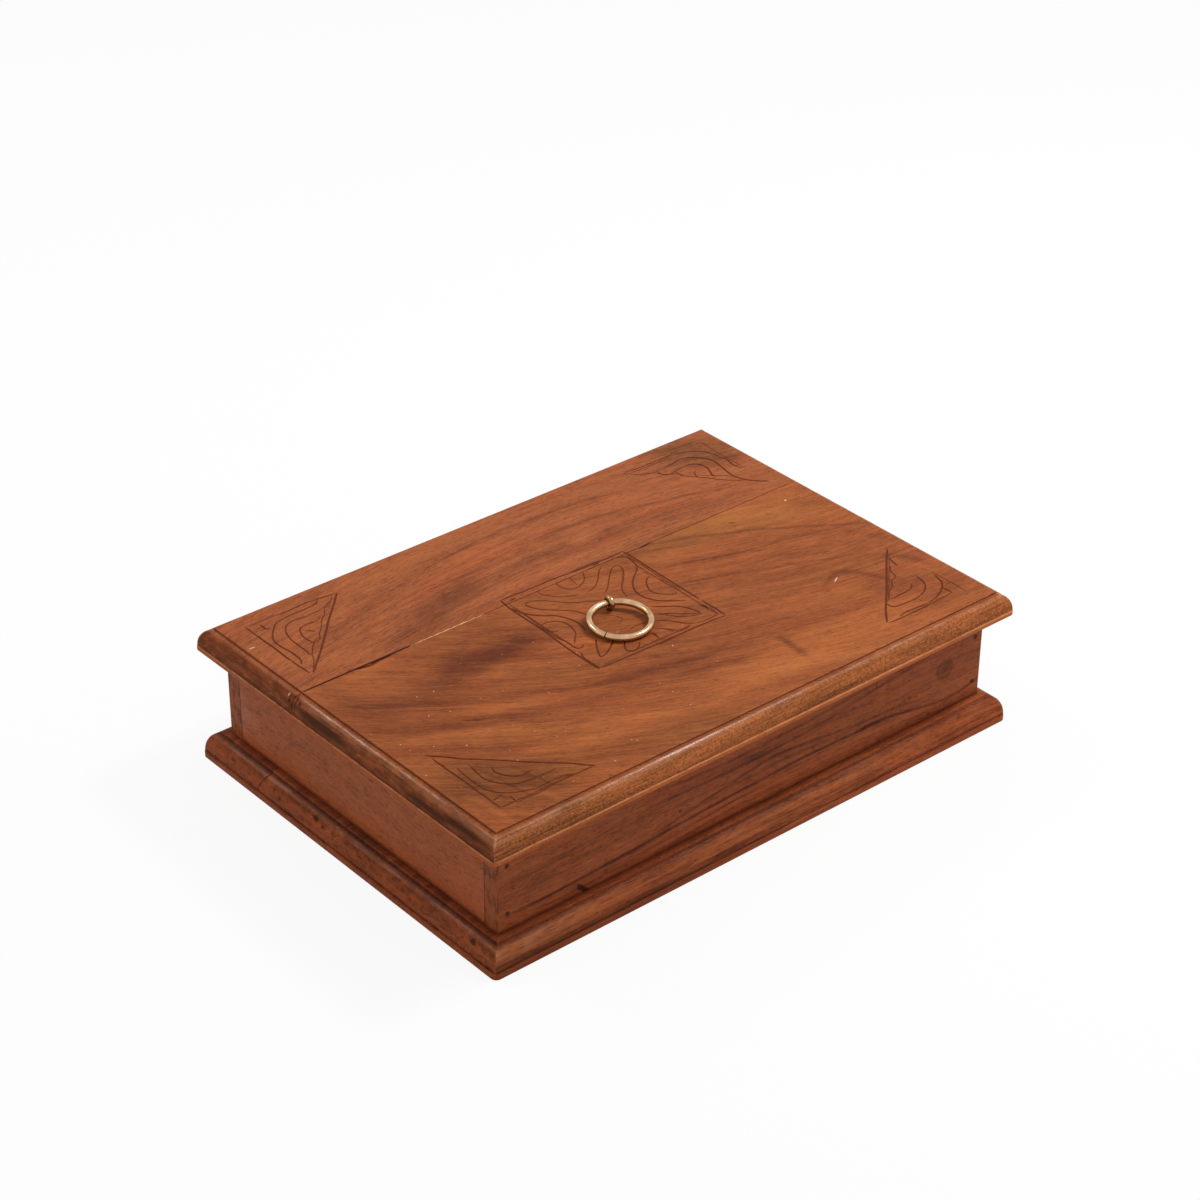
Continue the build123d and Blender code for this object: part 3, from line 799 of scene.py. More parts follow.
# Each line has the share of the full width that it is cut with, and then its points
CARVING = {
    "left of square": [
        (1.1, (590, 395), (700, 350), (850, 295), (1000, 230), (1150, 170), (1350, 100), (1568, 15)),
        (1.1, (590, 395), (635, 435), (700, 485), (800, 552), (1000, 682), (1200, 830), (1400, 968),
         (1568, 1070)),
        (0.7, (770, 500), (870, 565), (960, 635), (1110, 738), (1150, 768)),
        (0.8, (1130, 215), (1150, 245), (1200, 270), (1270, 285), (1340, 270), (1390, 230), (1415, 180),
         (1395, 112)),
        (0.7, (1140, 238), (1200, 198), (1260, 175), (1300, 205), (1345, 245)),
        (0.7, (950, 310), (990, 335), (1100, 355), (1200, 360), (1300, 350), (1350, 340)),
        (0.8, (800, 435), (870, 410), (960, 398), (1100, 403), (1200, 415), (1320, 418), (1450, 405),
         (1568, 398)),
        (0.9, (870, 415), (840, 440), (900, 465), (1000, 485), (1120, 490), (1250, 495), (1350, 505),
         (1455, 545)),
        (1.1, (690, 470), (780, 510), (880, 535), (1000, 545), (1130, 545), (1260, 575), (1340, 610),
         (1400, 655), (1440, 705)),
        (0.9, (1170, 690), (1120, 702), (1060, 695), (1010, 670), (992, 645), (1030, 618), (1100, 602),
         (1170, 602), (1235, 620), (1290, 660), (1312, 698)),
        (1.0, (1140, 745), (1170, 770), (1230, 795), (1320, 855), (1375, 862), (1412, 825)),
        (0.9, (1385, 900), (1400, 945), (1450, 985), (1520, 1025)),
    ],
    "back of square": [
        (1.1, (90, 372), (200, 325), (350, 262), (500, 215), (650, 150), (700, 128)),
        (1.1, (700, 128), (770, 165), (900, 245), (1100, 375), (1300, 500), (1568, 665)),
        (0.7, (740, 172), (900, 268), (1100, 402), (1350, 560)),
        (0.7, (330, 330), (400, 290), (470, 262), (600, 212)),
        (1.0, (610, 208), (680, 190), (740, 190), (800, 225), (850, 275), (862, 320), (845, 370),
         (820, 430), (812, 480), (825, 540), (860, 590), (920, 630), (1010, 660), (1110, 678), (1250, 680),
         (1420, 676)),
        (0.8, (500, 595), (530, 540), (545, 450), (568, 345), (600, 298), (650, 288), (692, 312),
         (712, 370), (708, 440), (690, 510), (700, 570), (730, 610), (757, 642)),
        (0.5, (680, 335), (692, 370), (695, 430), (682, 480)),
        (0.8, (462, 300), (440, 335), (428, 390), (420, 450), (395, 510), (345, 560), (290, 588)),
        (0.7, (900, 355), (960, 365), (1000, 395)),
        (0.9, (1010, 400), (975, 430), (965, 475), (985, 530), (1020, 575), (1100, 600), (1200, 605),
         (1290, 600), (1320, 580)),
        (0.9, (1090, 430), (1140, 450), (1185, 492)),
        (0.7, (1330, 560), (1400, 605), (1485, 662)),
        (0.7, (100, 700), (190, 703), (290, 690)),
        (0.6, (560, 840), (640, 855), (695, 880), (685, 910), (650, 930)),
        (0.7, (770, 1020), (820, 975), (880, 945), (970, 920)),
    ],
    "near of square": [
        (1.0, (440, 390), (540, 455), (590, 472)),
        (0.9, (400, 320), (420, 368), (470, 408), (530, 438), (590, 468)),
        (1.1, (590, 470), (700, 425), (900, 340), (1130, 242), (1300, 168), (1568, 52)),
        (0.7, (610, 452), (700, 405), (770, 370)),
        (0.7, (800, 345), (900, 302), (1000, 262), (1060, 237), (1170, 182), (1300, 132), (1400, 85),
         (1480, 42)),
        (1.0, (553, 175), (550, 230), (562, 290), (580, 340), (600, 358), (640, 335), (680, 280),
         (710, 222), (714, 195)),
        (0.9, (830, 205), (826, 240), (840, 290), (875, 303), (938, 298), (970, 250), (978, 205)),
        (0.9, (1105, 122), (1140, 150), (1162, 182)),
        (0.7, (985, 230), (1060, 235), (1130, 212)),
    ],
    "right of square": [
        (1.1, (850, 0), (1000, 90), (1105, 160)),
        (1.0, (1105, 160), (980, 205), (800, 280), (600, 372), (400, 470)),
        (1.0, (320, 70), (450, 67), (580, 65), (680, 75), (780, 105), (862, 146)),
        (0.8, (390, 145), (500, 156), (620, 172), (740, 165), (840, 150)),
        (0.8, (392, 210), (500, 216), (600, 232), (700, 243), (800, 240)),
        (0.8, (375, 295), (450, 300), (530, 315), (562, 328)),
        (0.8, (550, 350), (600, 330), (680, 300), (745, 250)),
        (0.8, (930, 70), (990, 120), (1012, 150), (880, 215), (790, 242)),
    ],
    "left corner": [
        (1.2, (1395, 165), (1350, 330), (1290, 510), (1240, 720), (1190, 900), (1130, 1080), (1085, 1210)),
        (0.7, (1330, 190), (1305, 300), (1232, 372), (1235, 440), (1198, 520), (1190, 620), (1168, 690),
         (1170, 760), (1108, 835)),
        (0.7, (1085, 900), (1072, 960), (1095, 1060), (1080, 1180)),
        (1.0, (1385, 165), (1290, 200), (1160, 240), (1110, 258), (990, 300), (850, 360), (730, 415),
         (590, 465)),
        (1.0, (1140, 258), (1120, 300), (1060, 340), (960, 388), (860, 425), (760, 470), (650, 530),
         (590, 580), (565, 650), (555, 720), (570, 790), (650, 860), (770, 925), (850, 980), (910, 1030),
         (935, 1070), (930, 1112)),
        (0.9, (1212, 385), (1100, 425), (960, 485), (850, 520), (770, 560), (725, 620), (735, 690),
         (790, 770), (870, 835), (960, 900), (1062, 985)),
        (0.9, (1155, 540), (1070, 555), (960, 595), (912, 640), (930, 700), (980, 760), (1050, 800),
         (1105, 822)),
        (1.0, (985, 664), (1050, 661), (1112, 676)),
        (1.0, (220, 630), (258, 660), (300, 692)),
        (1.1, (340, 720), (450, 800), (600, 905), (780, 1047)),
        (1.0, (820, 1075), (930, 1142), (1042, 1217)),
        (1.0, (385, 575), (440, 620), (490, 642), (542, 610)),
        (0.6, (250, 610), (300, 585), (385, 548)),
    ],
    "near corner": [
        (1.1, (40, 130), (210, 140), (350, 155), (520, 160), (720, 170), (870, 180), (1000, 185),
         (1200, 190), (1330, 200), (1455, 211)),
        (0.9, (110, 165), (170, 205), (222, 215)),
        (1.0, (208, 233), (350, 330), (470, 420), (592, 502)),
        (0.9, (598, 507), (632, 483), (672, 458)),
        (0.9, (615, 520), (642, 542), (672, 566)),
        (0.9, (680, 556), (715, 540), (755, 524)),
        (1.0, (733, 458), (765, 484), (802, 511)),
        (0.9, (802, 511), (870, 480), (1000, 425), (1085, 375)),
        (0.9, (1120, 331), (1200, 300), (1285, 280)),
        (0.8, (1310, 268), (1360, 246), (1415, 223)),
        (0.8, (300, 230), (380, 300), (470, 370), (560, 415), (680, 435), (800, 430), (900, 410),
         (952, 399)),
        (1.0, (402, 205), (460, 262), (520, 315), (600, 345), (700, 360), (800, 358), (900, 335),
         (962, 314)),
        (0.5, (975, 308), (1040, 282), (1110, 252)),
        (1.0, (588, 222), (620, 265), (700, 290), (800, 297), (870, 280), (922, 243)),
    ],
    "right corner": [
        (1.2, (225, 250), (215, 400), (214, 600), (215, 760), (210, 900), (205, 1050), (222, 1212)),
        (0.6, (245, 330), (250, 480), (245, 620), (250, 700), (235, 800), (240, 880)),
        (1.0, (240, 350), (290, 410), (352, 462)),
        (1.0, (240, 1215), (330, 1180), (400, 1150), (520, 1095), (640, 1040), (765, 985)),
        (0.9, (385, 1135), (430, 1090), (520, 1048), (640, 1000), (760, 950)),
        (1.1, (760, 950), (850, 890), (910, 820), (940, 750), (935, 680), (890, 630), (838, 583)),
        (0.7, (760, 542), (720, 515), (660, 495)),
        (1.0, (240, 968), (290, 1000), (370, 990), (470, 950), (570, 905), (660, 850), (710, 790),
         (720, 720), (680, 660), (600, 600)),
        (0.9, (240, 905), (300, 890), (400, 840), (480, 800), (540, 750), (535, 710)),
        (1.0, (975, 758), (1025, 788), (1078, 817)),
        (0.7, (978, 735), (1050, 682), (1130, 722)),
        (0.6, (850, 922), (900, 890), (955, 870)),
        (0.5, (300, 560), (330, 590), (352, 610)),
        (0.5, (262, 720), (300, 740), (322, 762)),
        (0.5, (250, 830), (280, 850), (300, 872)),
    ],
    "back corner": [
        (1.0, (160, 360), (260, 325), (400, 270), (540, 212)),
        (0.6, (330, 312), (450, 270), (552, 235)),
        (0.9, (540, 222), (620, 200), (720, 185), (800, 187), (900, 210), (960, 232)),
        (1.0, (950, 240), (1010, 252), (1070, 300), (1152, 332)),
        (1.1, (470, 330), (540, 295), (620, 250), (700, 238), (790, 243), (880, 260), (940, 295),
         (1000, 345), (1060, 390), (1120, 415), (1220, 436), (1390, 446)),
        (0.8, (428, 358), (442, 382), (490, 391), (540, 375), (590, 345), (640, 320)),
        (1.1, (640, 320), (700, 300), (770, 298), (840, 325), (870, 360), (890, 390), (932, 402)),
        (0.9, (600, 375), (620, 395), (672, 406)),
        (0.9, (742, 352), (737, 382), (760, 405), (802, 411)),
        (0.8, (160, 385), (250, 387), (320, 380), (422, 366)),
        (0.9, (640, 400), (760, 410), (850, 416), (940, 430), (1060, 436), (1182, 436)),
        (0.5, (740, 132), (780, 116), (840, 125), (872, 147)),
    ],
}

# Fainter lines of the carving in the same form, in millimetres on the lid
FAINT_CARVING = [
    (0.8, (-134.9, 92.4), (-134.9, 80), (-135, 62), (-134.8, 44.5)),
    (0.7, (-135, 92.2), (-128, 92), (-117, 92.2)),
    (0.7, (-131.8, 85.4), (-129.6, 85.6), (-127.4, 85)),
    (0.7, (-102, 83), (-96.5, 84.4), (-91.5, 87.4)),
    (0.6, (-108, 76.8), (-105.6, 77.1), (-103, 79.2)),
    (0.8, (-116.6, 73.3), (-114.6, 71.6), (-112.6, 69.8)),
    (0.8, (-124.4, 56), (-120.5, 60.5), (-118, 62.8), (-114.6, 65)),
    (0.9, (99.4, 80.6), (102.5, 77.4), (105.4, 75.4), (108.4, 72.2)),
    (0.7, (112.8, 67.6), (116.5, 64.4), (119.5, 61.2), (124, 57.6), (127.8, 52.8)),
    (0.9, (107.6, 76.4), (107, 73.6), (108.8, 71.2)),
    (1.2, (121, 66.8), (119.2, 63.6), (119.8, 60.6)),
    (0.8, (86, 91), (90, 91.5), (94, 91.6)),
    (0.8, (114, 91.3), (118, 91.2), (122, 91.4)),
    (0.7, (91, 89.5), (104, 89.3), (118, 89.8)),
    (0.6, (136.6, 91), (136.2, 76), (136, 57)),
    (1.0, (100.7, 82.6), (99.9, 80.4), (101.7, 77.8)),
    (0.9, (-133.6, -42.5), (-133.8, -60), (-133.8, -88.6)),
    (0.8, (-119.4, -85.2), (-114, -87.2), (-104, -87), (-99, -87.4), (-94.6, -89.2)),
    (0.9, (-133.8, -88.4), (-120, -89), (-104, -89.4), (-84.5, -89.9)),
    (0.8, (-133.4, -82.4), (-130, -82.2), (-127.2, -81.8)),
    (0.8, (-117, -79.4), (-109, -80.8), (-99.4, -81.7)),
    (1.1, (129.1, -48), (128.2, -52), (127.3, -55.8)),
    (0.8, (125.4, -52.6), (121.6, -57), (120, -61.8), (116, -63.2), (112.4, -67.6)),
    (0.8, (112.8, -67), (108, -69.6), (104.6, -73), (100.6, -75.8)),
    (1.0, (99.9, -75.6), (99.7, -77.6), (99.9, -79.8)),
    (0.8, (129.7, -81.6), (129.5, -85), (129.7, -88.4)),
    (0.6, (135.5, -69), (135.8, -80), (135.5, -92)),
    (0.8, (110, -88.6), (120, -88.9), (131, -88.2)),
    (0.8, (-22.7, -0.6), (-24.4, -5.4), (-27.5, -8.6), (-30.8, -12.4)),
    (0.8, (-18.4, 0.6), (-18.7, -5), (-17.7, -9.6)),
    (0.8, (1.2, -33), (1.6, -30), (1.4, -26.4)),
    (0.8, (5.2, -25.2), (9, -28.6), (12.2, -33.2)),
    (0.8, (10.2, -20.2), (15.5, -26), (19.8, -31.8)),
    (0.8, (12.6, -15.6), (20, -21), (25, -25.6), (29.8, -28.8)),
    (0.7, (-32.2, 33), (-32, 20), (-32.4, 0), (-32.2, -12)),
    (0.7, (34.8, 24), (34.6, 6), (34.9, -10), (34.6, -33)),
    (0.7, (-12, -33.2), (0, -33.6), (14, -33.4)),
]

# Strokes of the wood's figure, drawn on each face in millimetres: tone, width and points
FRONT_FIGURE = [
    (-0.42, 18, (-100, 9), (-66, 6), (-28, 1)),
    (-0.24, 28, (-120, 2), (-76, 1), (-26, -3)),
    (-0.12, 16, (-124, 22), (-76, 24), (-32, 21)),
    (-0.14, 9, (-104, 8), (-66, 18), (-30, 12)),
    (-0.22, 9, (-140, 36), (-137, 24), (-132, 10)),
    (-0.20, 9, (-150, 24), (-126, 3), (-110, -9), (-80, -26), (-40, -45), (16, -58)),
    (-0.16, 18, (-152, 20), (-122, -2), (-84, -22)),
    (-0.18, 6, (-60, -38), (-10, -52), (30, -60), (104, -75)),
    (-0.20, 9, (-150, 0), (-130, -19), (-112, -29), (-90, -38), (-60, -50), (-20, -60), (40, -69)),
    (-0.10, 14, (-152, 0), (-128, -20), (-90, -38)),
    (-0.20, 9, (-150, -31), (-122, -43), (-104, -56), (-80, -67), (-50, -77)),
    (-0.12, 30, (-156, 10), (-122, -2), (-86, -8)),
    (-0.30, 42, (-152, -52), (-122, -74), (-88, -100)),
    (-0.18, 20, (-96, -82), (-55, -90), (-6, -99)),
    (-0.08, 14, (-56, -43), (-18, -47), (20, -53)),
    (-0.30, 2.6, (40, 36), (70, 25), (92, 15), (112, 2), (130, -9), (150, -21)),
    (-0.10, 14, (50, 16), (92, 2), (142, -24)),
    (-0.20, 2.4, (30, -1), (62, -12), (84, -21), (118, -35)),
    (-0.16, 2.4, (34, 14), (64, 5), (102, -10)),
    (-0.12, 5.0, (-14, -34), (30, -42), (84, -53)),
    (-0.24, 5.0, (84, -50), (100, -43), (110, -49), (118, -66)),
    (-0.26, 6.0, (121, -38), (134, -50), (141, -70)),
    (-0.16, 16, (96, -57), (116, -66), (134, -78)),
    (-0.20, 12, (104, 35), (128, 20), (150, -2)),
    (-0.14, 4.0, (-20, -58), (30, -70), (70, -78), (122, -86)),
    (-0.16, 12, (82, -93), (120, -88), (150, -77)),
    (-0.16, 7.0, (128, -15), (138, -28), (147, -42)),
    (-0.46, 5.0, (43.4, -62), (42.4, -75), (41.4, -88)),
    (-0.10, 60, (0, 4), (80, -25), (158, -52)),
    (-0.08, 40, (-44, -28), (20, -46), (92, -58)),
    (-0.26, 4.5, (-73, -58.5), (-68, -61.5), (-63, -65)),
    (-0.16, 2.0, (-133, -58), (-129, -74), (-128, -90)),
    (-0.16, 2.0, (-125, -56), (-121, -74), (-119, -94)),
    (-0.16, 2.0, (-113, -62), (-109, -80), (-105, -98)),
    (0.20, 12, (-90, -6), (-77, -8), (-60, -11)),
    (0.20, 9, (-146, -22), (-112, -37), (-80, -53)),
    (0.24, 11, (-106, -59), (-80, -70), (-46, -81)),
    (0.16, 10, (-78, -62), (-48, -74), (-14, -83)),
    (0.12, 8, (-136, 29), (-110, 29), (-86, 27)),
    (0.14, 16, (46, -43), (84, -54), (116, -58)),
    (0.20, 12, (-14, -78), (22, -84), (66, -94)),
    (0.22, 14, (72, 31), (108, 26), (146, 19)),
    (0.18, 34, (30, 36), (96, 22), (156, 0)),
    (0.14, 12, (36, 27), (60, 15), (90, 3)),
    (0.14, 9, (76, 2), (110, -12), (148, -29)),
    (0.12, 8, (-110, -21), (-70, -38), (-40, -50)),
    (0.28, 30, (-10, -74), (60, -82), (130, -96)),
    (0.24, 4.0, (-139.5, -70), (-137, -88), (-134.5, -104)),
    (0.20, 4.0, (-120, -80), (-114, -92), (-110, -104)),
]

REAR_FIGURE = [
    (-0.26, 22, (-108, 30), (-60, 50), (-18, 60)),
    (-0.20, 14, (-76, 46), (-50, 53), (-24, 57)),
    (-0.18, 10, (-100, 68), (-56, 78), (-12, 87)),
    (-0.16, 9, (-56, 57), (-10, 67), (30, 68), (78, 58)),
    (-0.22, 2.2, (-50, 79), (0, 86), (36, 85), (88, 77)),
    (-0.16, 12, (-20, 54), (40, 53), (84, 45), (122, 33)),
    (-0.18, 2.2, (8, 70), (56, 66), (90, 58), (126, 43)),
    (-0.14, 3.0, (24, 80), (70, 74), (114, 59)),
    (-0.14, 2.4, (-100, 58), (-40, 72), (10, 77), (70, 70)),
    (-0.20, 28, (102, 110), (124, 89), (154, 68)),
    (-0.22, 4.0, (108, 92), (130, 76), (152, 65)),
    (-0.16, 6.0, (-150, 57), (-110, 62), (-74, 69)),
    (-0.14, 8.0, (70, 91), (100, 84), (132, 69)),
    (0.20, 8, (-60, 42), (0, 44), (58, 40)),
    (0.28, 9, (20, 56), (32, 56), (45, 55)),
    (0.18, 16, (-110, 94), (-40, 95), (40, 91)),
    (0.12, 13, (-36, 75), (20, 77), (78, 70)),
    (0.14, 14, (-152, 72), (-128, 50), (-98, 40)),
]

# Greenish streaks of both boards, in the same form
OLIVE_TINTS = [
    (0.6, 26, (-4, 34), (70, 28), (150, 2)),
    (0.7, 32, (106, 108), (126, 88), (152, 70)),
    (0.5, 44, (-148, -52), (-122, -76), (-80, -104)),
    (0.5, 16, (-80, -88), (-40, -94), (10, -99)),
]

# The front wall's figure in the same form, with z in the place of y
WALL_FIGURE = [
    (-0.44, 1.9, (-150, 21.2), (-95, 22.2), (-47.5, 23.7), (2, 26.9), (47.5, 26.5), (92, 23.8)),
    (-0.44, 1.9, (58, 26), (95, 23.7), (110, 21.3), (123.5, 19.8), (135, 21.3), (148, 26)),
    (-0.14, 5.0, (-150, 19.6), (-95, 20.4), (-47.5, 21.6), (2, 24.4), (47.5, 24), (92, 21.6)),
    (-0.26, 1.9, (-60, 25), (-28.5, 30.1), (-9.5, 33.1), (18, 36.4)),
    (-0.28, 1.9, (6, 35.4), (38, 33.1), (57, 31), (76, 29.7), (95, 28.2), (112, 22)),
    (-0.24, 2.0, (-66, 42), (-28.5, 39.7), (-2, 39.1), (17, 39.5), (38, 40.6), (59, 43.3), (84, 45.7),
     (120, 49.4)),
    (-0.24, 1.8, (-74, 51), (-44, 46.3), (-21, 44.8), (4, 44.4), (28.5, 45.7), (59, 47.2), (120, 49.4)),
    (-0.12, 2.0, (-50, 43.4), (0, 41.6), (40, 43), (92, 47.8)),
    (-0.16, 9, (-14, 44.6), (7, 37), (28, 29.4)),
    (-0.18, 1.6, (-90, 17.4), (0, 22), (60, 21), (140, 14.8)),
    (-0.20, 2.2, (-70, 14.4), (20, 18.4), (80, 17), (150, 13.2)),
    (-0.16, 1.2, (-124, 16.9), (-40, 20.2), (20, 24), (100, 21)),
    (-0.18, 1.2, (-50, 15.6), (20, 20), (70, 19), (120, 15.4)),
    (-0.16, 1.0, (-20, 14.6), (30, 16.4), (80, 15.4), (110, 14.4)),
    (-0.14, 1.4, (-150, 15.8), (-100, 17), (-50, 15.8)),
    (-0.12, 2.6, (-34, 28.6), (20, 31), (64, 28), (114, 24)),
    (-0.16, 5.0, (-150, 36.2), (-124, 37), (-90, 39.2)),
    (-0.10, 3.0, (-150, 30), (-110, 30.6), (-56, 32)),
    (0.16, 3.4, (-80, 19.8), (0, 24.2), (60, 23.4), (132, 17.4)),
    (0.16, 8.0, (-80, 15), (10, 20), (110, 16)),
    (0.10, 7.0, (-136, 25.4), (-80, 28), (-36, 36)),
    (0.12, 6.0, (24, 37.4), (76, 36), (122, 38.4)),
]


def camera_axes(studio):
    """Right, up and back of the camera, from its turn, rise and roll."""
    turn, rise, roll = studio.camera_turn, studio.camera_rise, studio.camera_roll
    back = np.array([math.sin(turn) * math.cos(rise), -math.cos(turn) * math.cos(rise), math.sin(rise)])
    right = np.cross(-back, (0, 0, 1))
    right /= np.linalg.norm(right)
    up = np.cross(right, -back)
    level_right = right * math.cos(roll) + up * math.sin(roll)
    level_up = up * math.cos(roll) - right * math.sin(roll)
    return level_right, level_up, back


def placed(view, drawn, studio):
    """Points on the lid, in millimetres, that the camera sees at points drawn in a close-up view.

    Each is camera + t ray, with t where the ray meets the plane of the lid."""
    corner_x, corner_y, enlargement = VIEWS[view]
    pixels = np.array([corner_x, corner_y]) + np.asarray(drawn, float) / enlargement
    right, up, back = camera_axes(studio)
    reach = studio.lens / SENSOR_WIDTH * PHOTO_SIDE
    aside = (pixels - PHOTO_SIDE / 2) / reach
    rays = aside[:, :1] * right - aside[:, 1:] * up - back
    start = np.array(studio.camera_place) / MM
    return start + (LID_TOP - start[2]) / rays[:, 2:] * rays


def linked(name, mesh, *materials):
    """New object of a mesh, standing at the origin."""
    made = bpy.data.objects.new(name, mesh)
    bpy.context.scene.collection.objects.link(made)
    for material in materials:
        made.data.materials.append(material)
    return made


def settled(piece):
    """The piece with its modifiers worked into its mesh."""
    bpy.context.view_layer.update()
    seen = piece.evaluated_get(bpy.context.evaluated_depsgraph_get())
    mesh = bpy.data.meshes.new_from_object(seen)
    piece.modifiers.clear()
    old = piece.data
    piece.data = mesh
    bpy.data.meshes.remove(old)
    return piece


def rubbed(piece, width):
    """Rounds the long arrises of a piece."""
    mesh = piece.data
    mesh.set_sharp_from_angle(angle=math.radians(ARRIS_DEGREES))
    ends = np.empty(2 * len(mesh.edges), np.int32)
    mesh.edges.foreach_get("vertices", ends)
    places = np.empty(3 * len(mesh.vertices), np.float32)
    mesh.vertices.foreach_get("co", places)
    corners = places.reshape(-1, 3)[ends.reshape(-1, 2)]
    long = np.linalg.norm(corners[:, 1] - corners[:, 0], axis=1) > ARRIS_LEAST * MM
    sharp = np.empty(len(mesh.edges), bool)
    mesh.attributes["sharp_edge"].data.foreach_get("value", sharp)
    weights = mesh.attributes.new("bevel_weight_edge", "FLOAT", "EDGE")
    weights.data.foreach_set("value", (long & sharp).astype(np.float32))
    bevel = piece.modifiers.new("rubbed arrises", "BEVEL")
    bevel.width = width
    bevel.segments = 2
    bevel.limit_method = "WEIGHT"
    bevel.use_clamp_overlap = False
    return settled(piece)


def cut(piece, cutters):
    """Takes the cutters out of the piece, one after another."""
    for number, cutter in enumerate(cutters):
        tool = linked(f"tool{number}", cutter)
        taken = piece.modifiers.new("cut", "BOOLEAN")
        taken.operation = "DIFFERENCE"
        taken.solver = "MANIFOLD"
        taken.object = tool
        settled(piece)
        bpy.data.objects.remove(tool)
        bpy.data.meshes.remove(cutter)
    return piece


def shaded(mesh):
    """Smooth faces apart from the level ones, with sharp edges where the surface turns sharply."""
    normals = np.empty(3 * len(mesh.polygons), np.float32)
    mesh.polygons.foreach_get("normal", normals)
    mesh.set_sharp_from_angle(angle=math.radians(SHADED_DEGREES))
    mesh.polygons.foreach_set("use_smooth", np.abs(normals[2::3]) < LEVEL)
    mesh.update()


def merged_copy(node, name):
    """Copy of a packed board as one closed mesh, its loose triangles merged and its normals plain."""
    piece = linked(name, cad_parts[node].data.copy())
    if "custom_normal" in piece.data.attributes:
        piece.data.attributes.remove(piece.data.attributes["custom_normal"])
    weld = piece.modifiers.new("merge", "WELD")
    weld.merge_threshold = MERGE_DISTANCE
    return settled(piece)


# Operators


class BOX_OT_carve_lid(bpy.types.Operator):
    """Cut the carving, the glue joint and the cracks into the two boards of the lid"""

    bl_idname = "storage_box.carve_lid"
    bl_label = "Carve lid boards"

    def execute(self, context):
        sizes = context.scene.box_carving
        studio = context.scene.box_studio
        look = context.scene.box_timber
        step = sizes.cutter_step / MM
        drawn = []
        for view, lines in CARVING.items():
            drawn += [(strength, placed(view, line, studio)) for strength, *line in lines]
        for strength, *line in FAINT_CARVING:
            drawn.append((strength, [(x, y, LID_TOP) for x, y in line]))
        runs = []
        for strength, knots in drawn:
            width, depth = strength * sizes.line_width, strength * sizes.line_depth
            runs.append((catmull_rom(knots, step), UPRIGHT, width, depth, TAPER))
        joint_y = [LID_JOINT + JOINT_WAVER * math.sin(x) for x in JOINT_KNOTS]
        joint = catmull_rom([(x, y, LID_TOP) for x, y in zip(JOINT_KNOTS, joint_y)], step)
        opened = joint[joint[:, 0] < JOINT_OPEN_TO]
        chip = catmull_rom(placed("lid left", CHIP, studio), step)
        for path, (wide, deep, taper) in zip((joint, opened, chip), JOINT_CUTS):
            runs.append((path, UPRIGHT, wide * sizes.joint_width, deep * sizes.joint_depth, taper))
        for offsets in LID_CRACKS:
            path, normals = down_ovolo(offsets, LID_TOP, LID_LEDGE)
            runs.append((path, normals, sizes.crack_width, sizes.crack_depth, TAPER))
        figures = {"lid_front_board": FRONT_FIGURE, "lid_rear_board": REAR_FIGURE}
        for node, figure in figures.items():
            rear = node == "lid_rear_board"
            piece = rubbed(merged_copy(node, node.replace("board", "carved")), sizes.arris_round)
            cutters = []
            for path, normals, width, depth, taper in runs:
                beyond = path[:, 1] - LID_JOINT if rear else LID_JOINT - path[:, 1]
                if beyond.max() > -JOINT_MARGIN:
                    cutters.append(surface_cutter(path, normals, width / MM, depth / MM, taper))
            cut(piece, cutters)
            shaded(piece.data)
            settle(piece, lid_material(piece.name, look, rear, figure), "lid", node)
        return {"FINISHED"}


class BOX_OT_fill_joint(bpy.types.Operator):
    """Lay the pale filler that stands in the glue joint of the lid"""

    bl_idname = "storage_box.fill_joint"
    bl_label = "Fill joint"

    def execute(self, context):
        sizes = context.scene.box_carving
        look = context.scene.box_timber
        # A low arch laid along the joint. It wavers as a sine, and its size is the root of a half sine
        # from end to end with two slower waves on it
        x = np.linspace(*FILLER_SPAN, 60)
        y = LID_JOINT + 0.12 * np.sin(x * 1.3)
        path = np.stack([x, y, np.full_like(x, LID_TOP - FILLER_SUNK)], axis=1)
        ends = np.sin(np.linspace(0, math.pi, len(x))) ** 0.5
        ragged = ends * (0.75 + 0.25 * np.sin(x * 0.9) * np.sin(x * 0.37 + 1)) + 0.05
        across = np.broadcast_to((0, 1.0, 0), path.shape)
        up = np.broadcast_to((0, 0, 1.0), path.shape)
        turns = np.linspace(0, math.pi, 7)
        half = sizes.filler_width / MM / 2
        high = sizes.filler_height / MM + FILLER_SUNK
        section = [(half * math.cos(a), high * math.sin(a)) for a in turns]
        section += [(-half * 0.4, -0.3), (half * 0.4, -0.3)]
        mesh = carried("joint_filler", path, across, up, section[::-1], ragged)
        piece = linked("joint_filler", mesh)
        shaded(mesh)
        mix = new_bench("joint_filler")
        cloud = mix.cloud((2, 1, 1), rough=0.5)
        paint = Paint(mix, cloud.rise(0.3, 0.7), deeper(look.filler, 0.55), look.filler)
        paste = mix.finish(
            Base_Color=paint.colour, Roughness=cloud * 0.2 + 0.5, Normal=mix.bump(cloud * 0.05)
        )
        settle(piece, paste, "lid", None)
        return {"FINISHED"}


def settle(piece, material, body, node):
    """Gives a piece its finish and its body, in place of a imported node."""
    piece.data.materials.clear()
    piece.data.materials.append(material)
    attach(piece, body)
    if node:
        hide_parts(node)


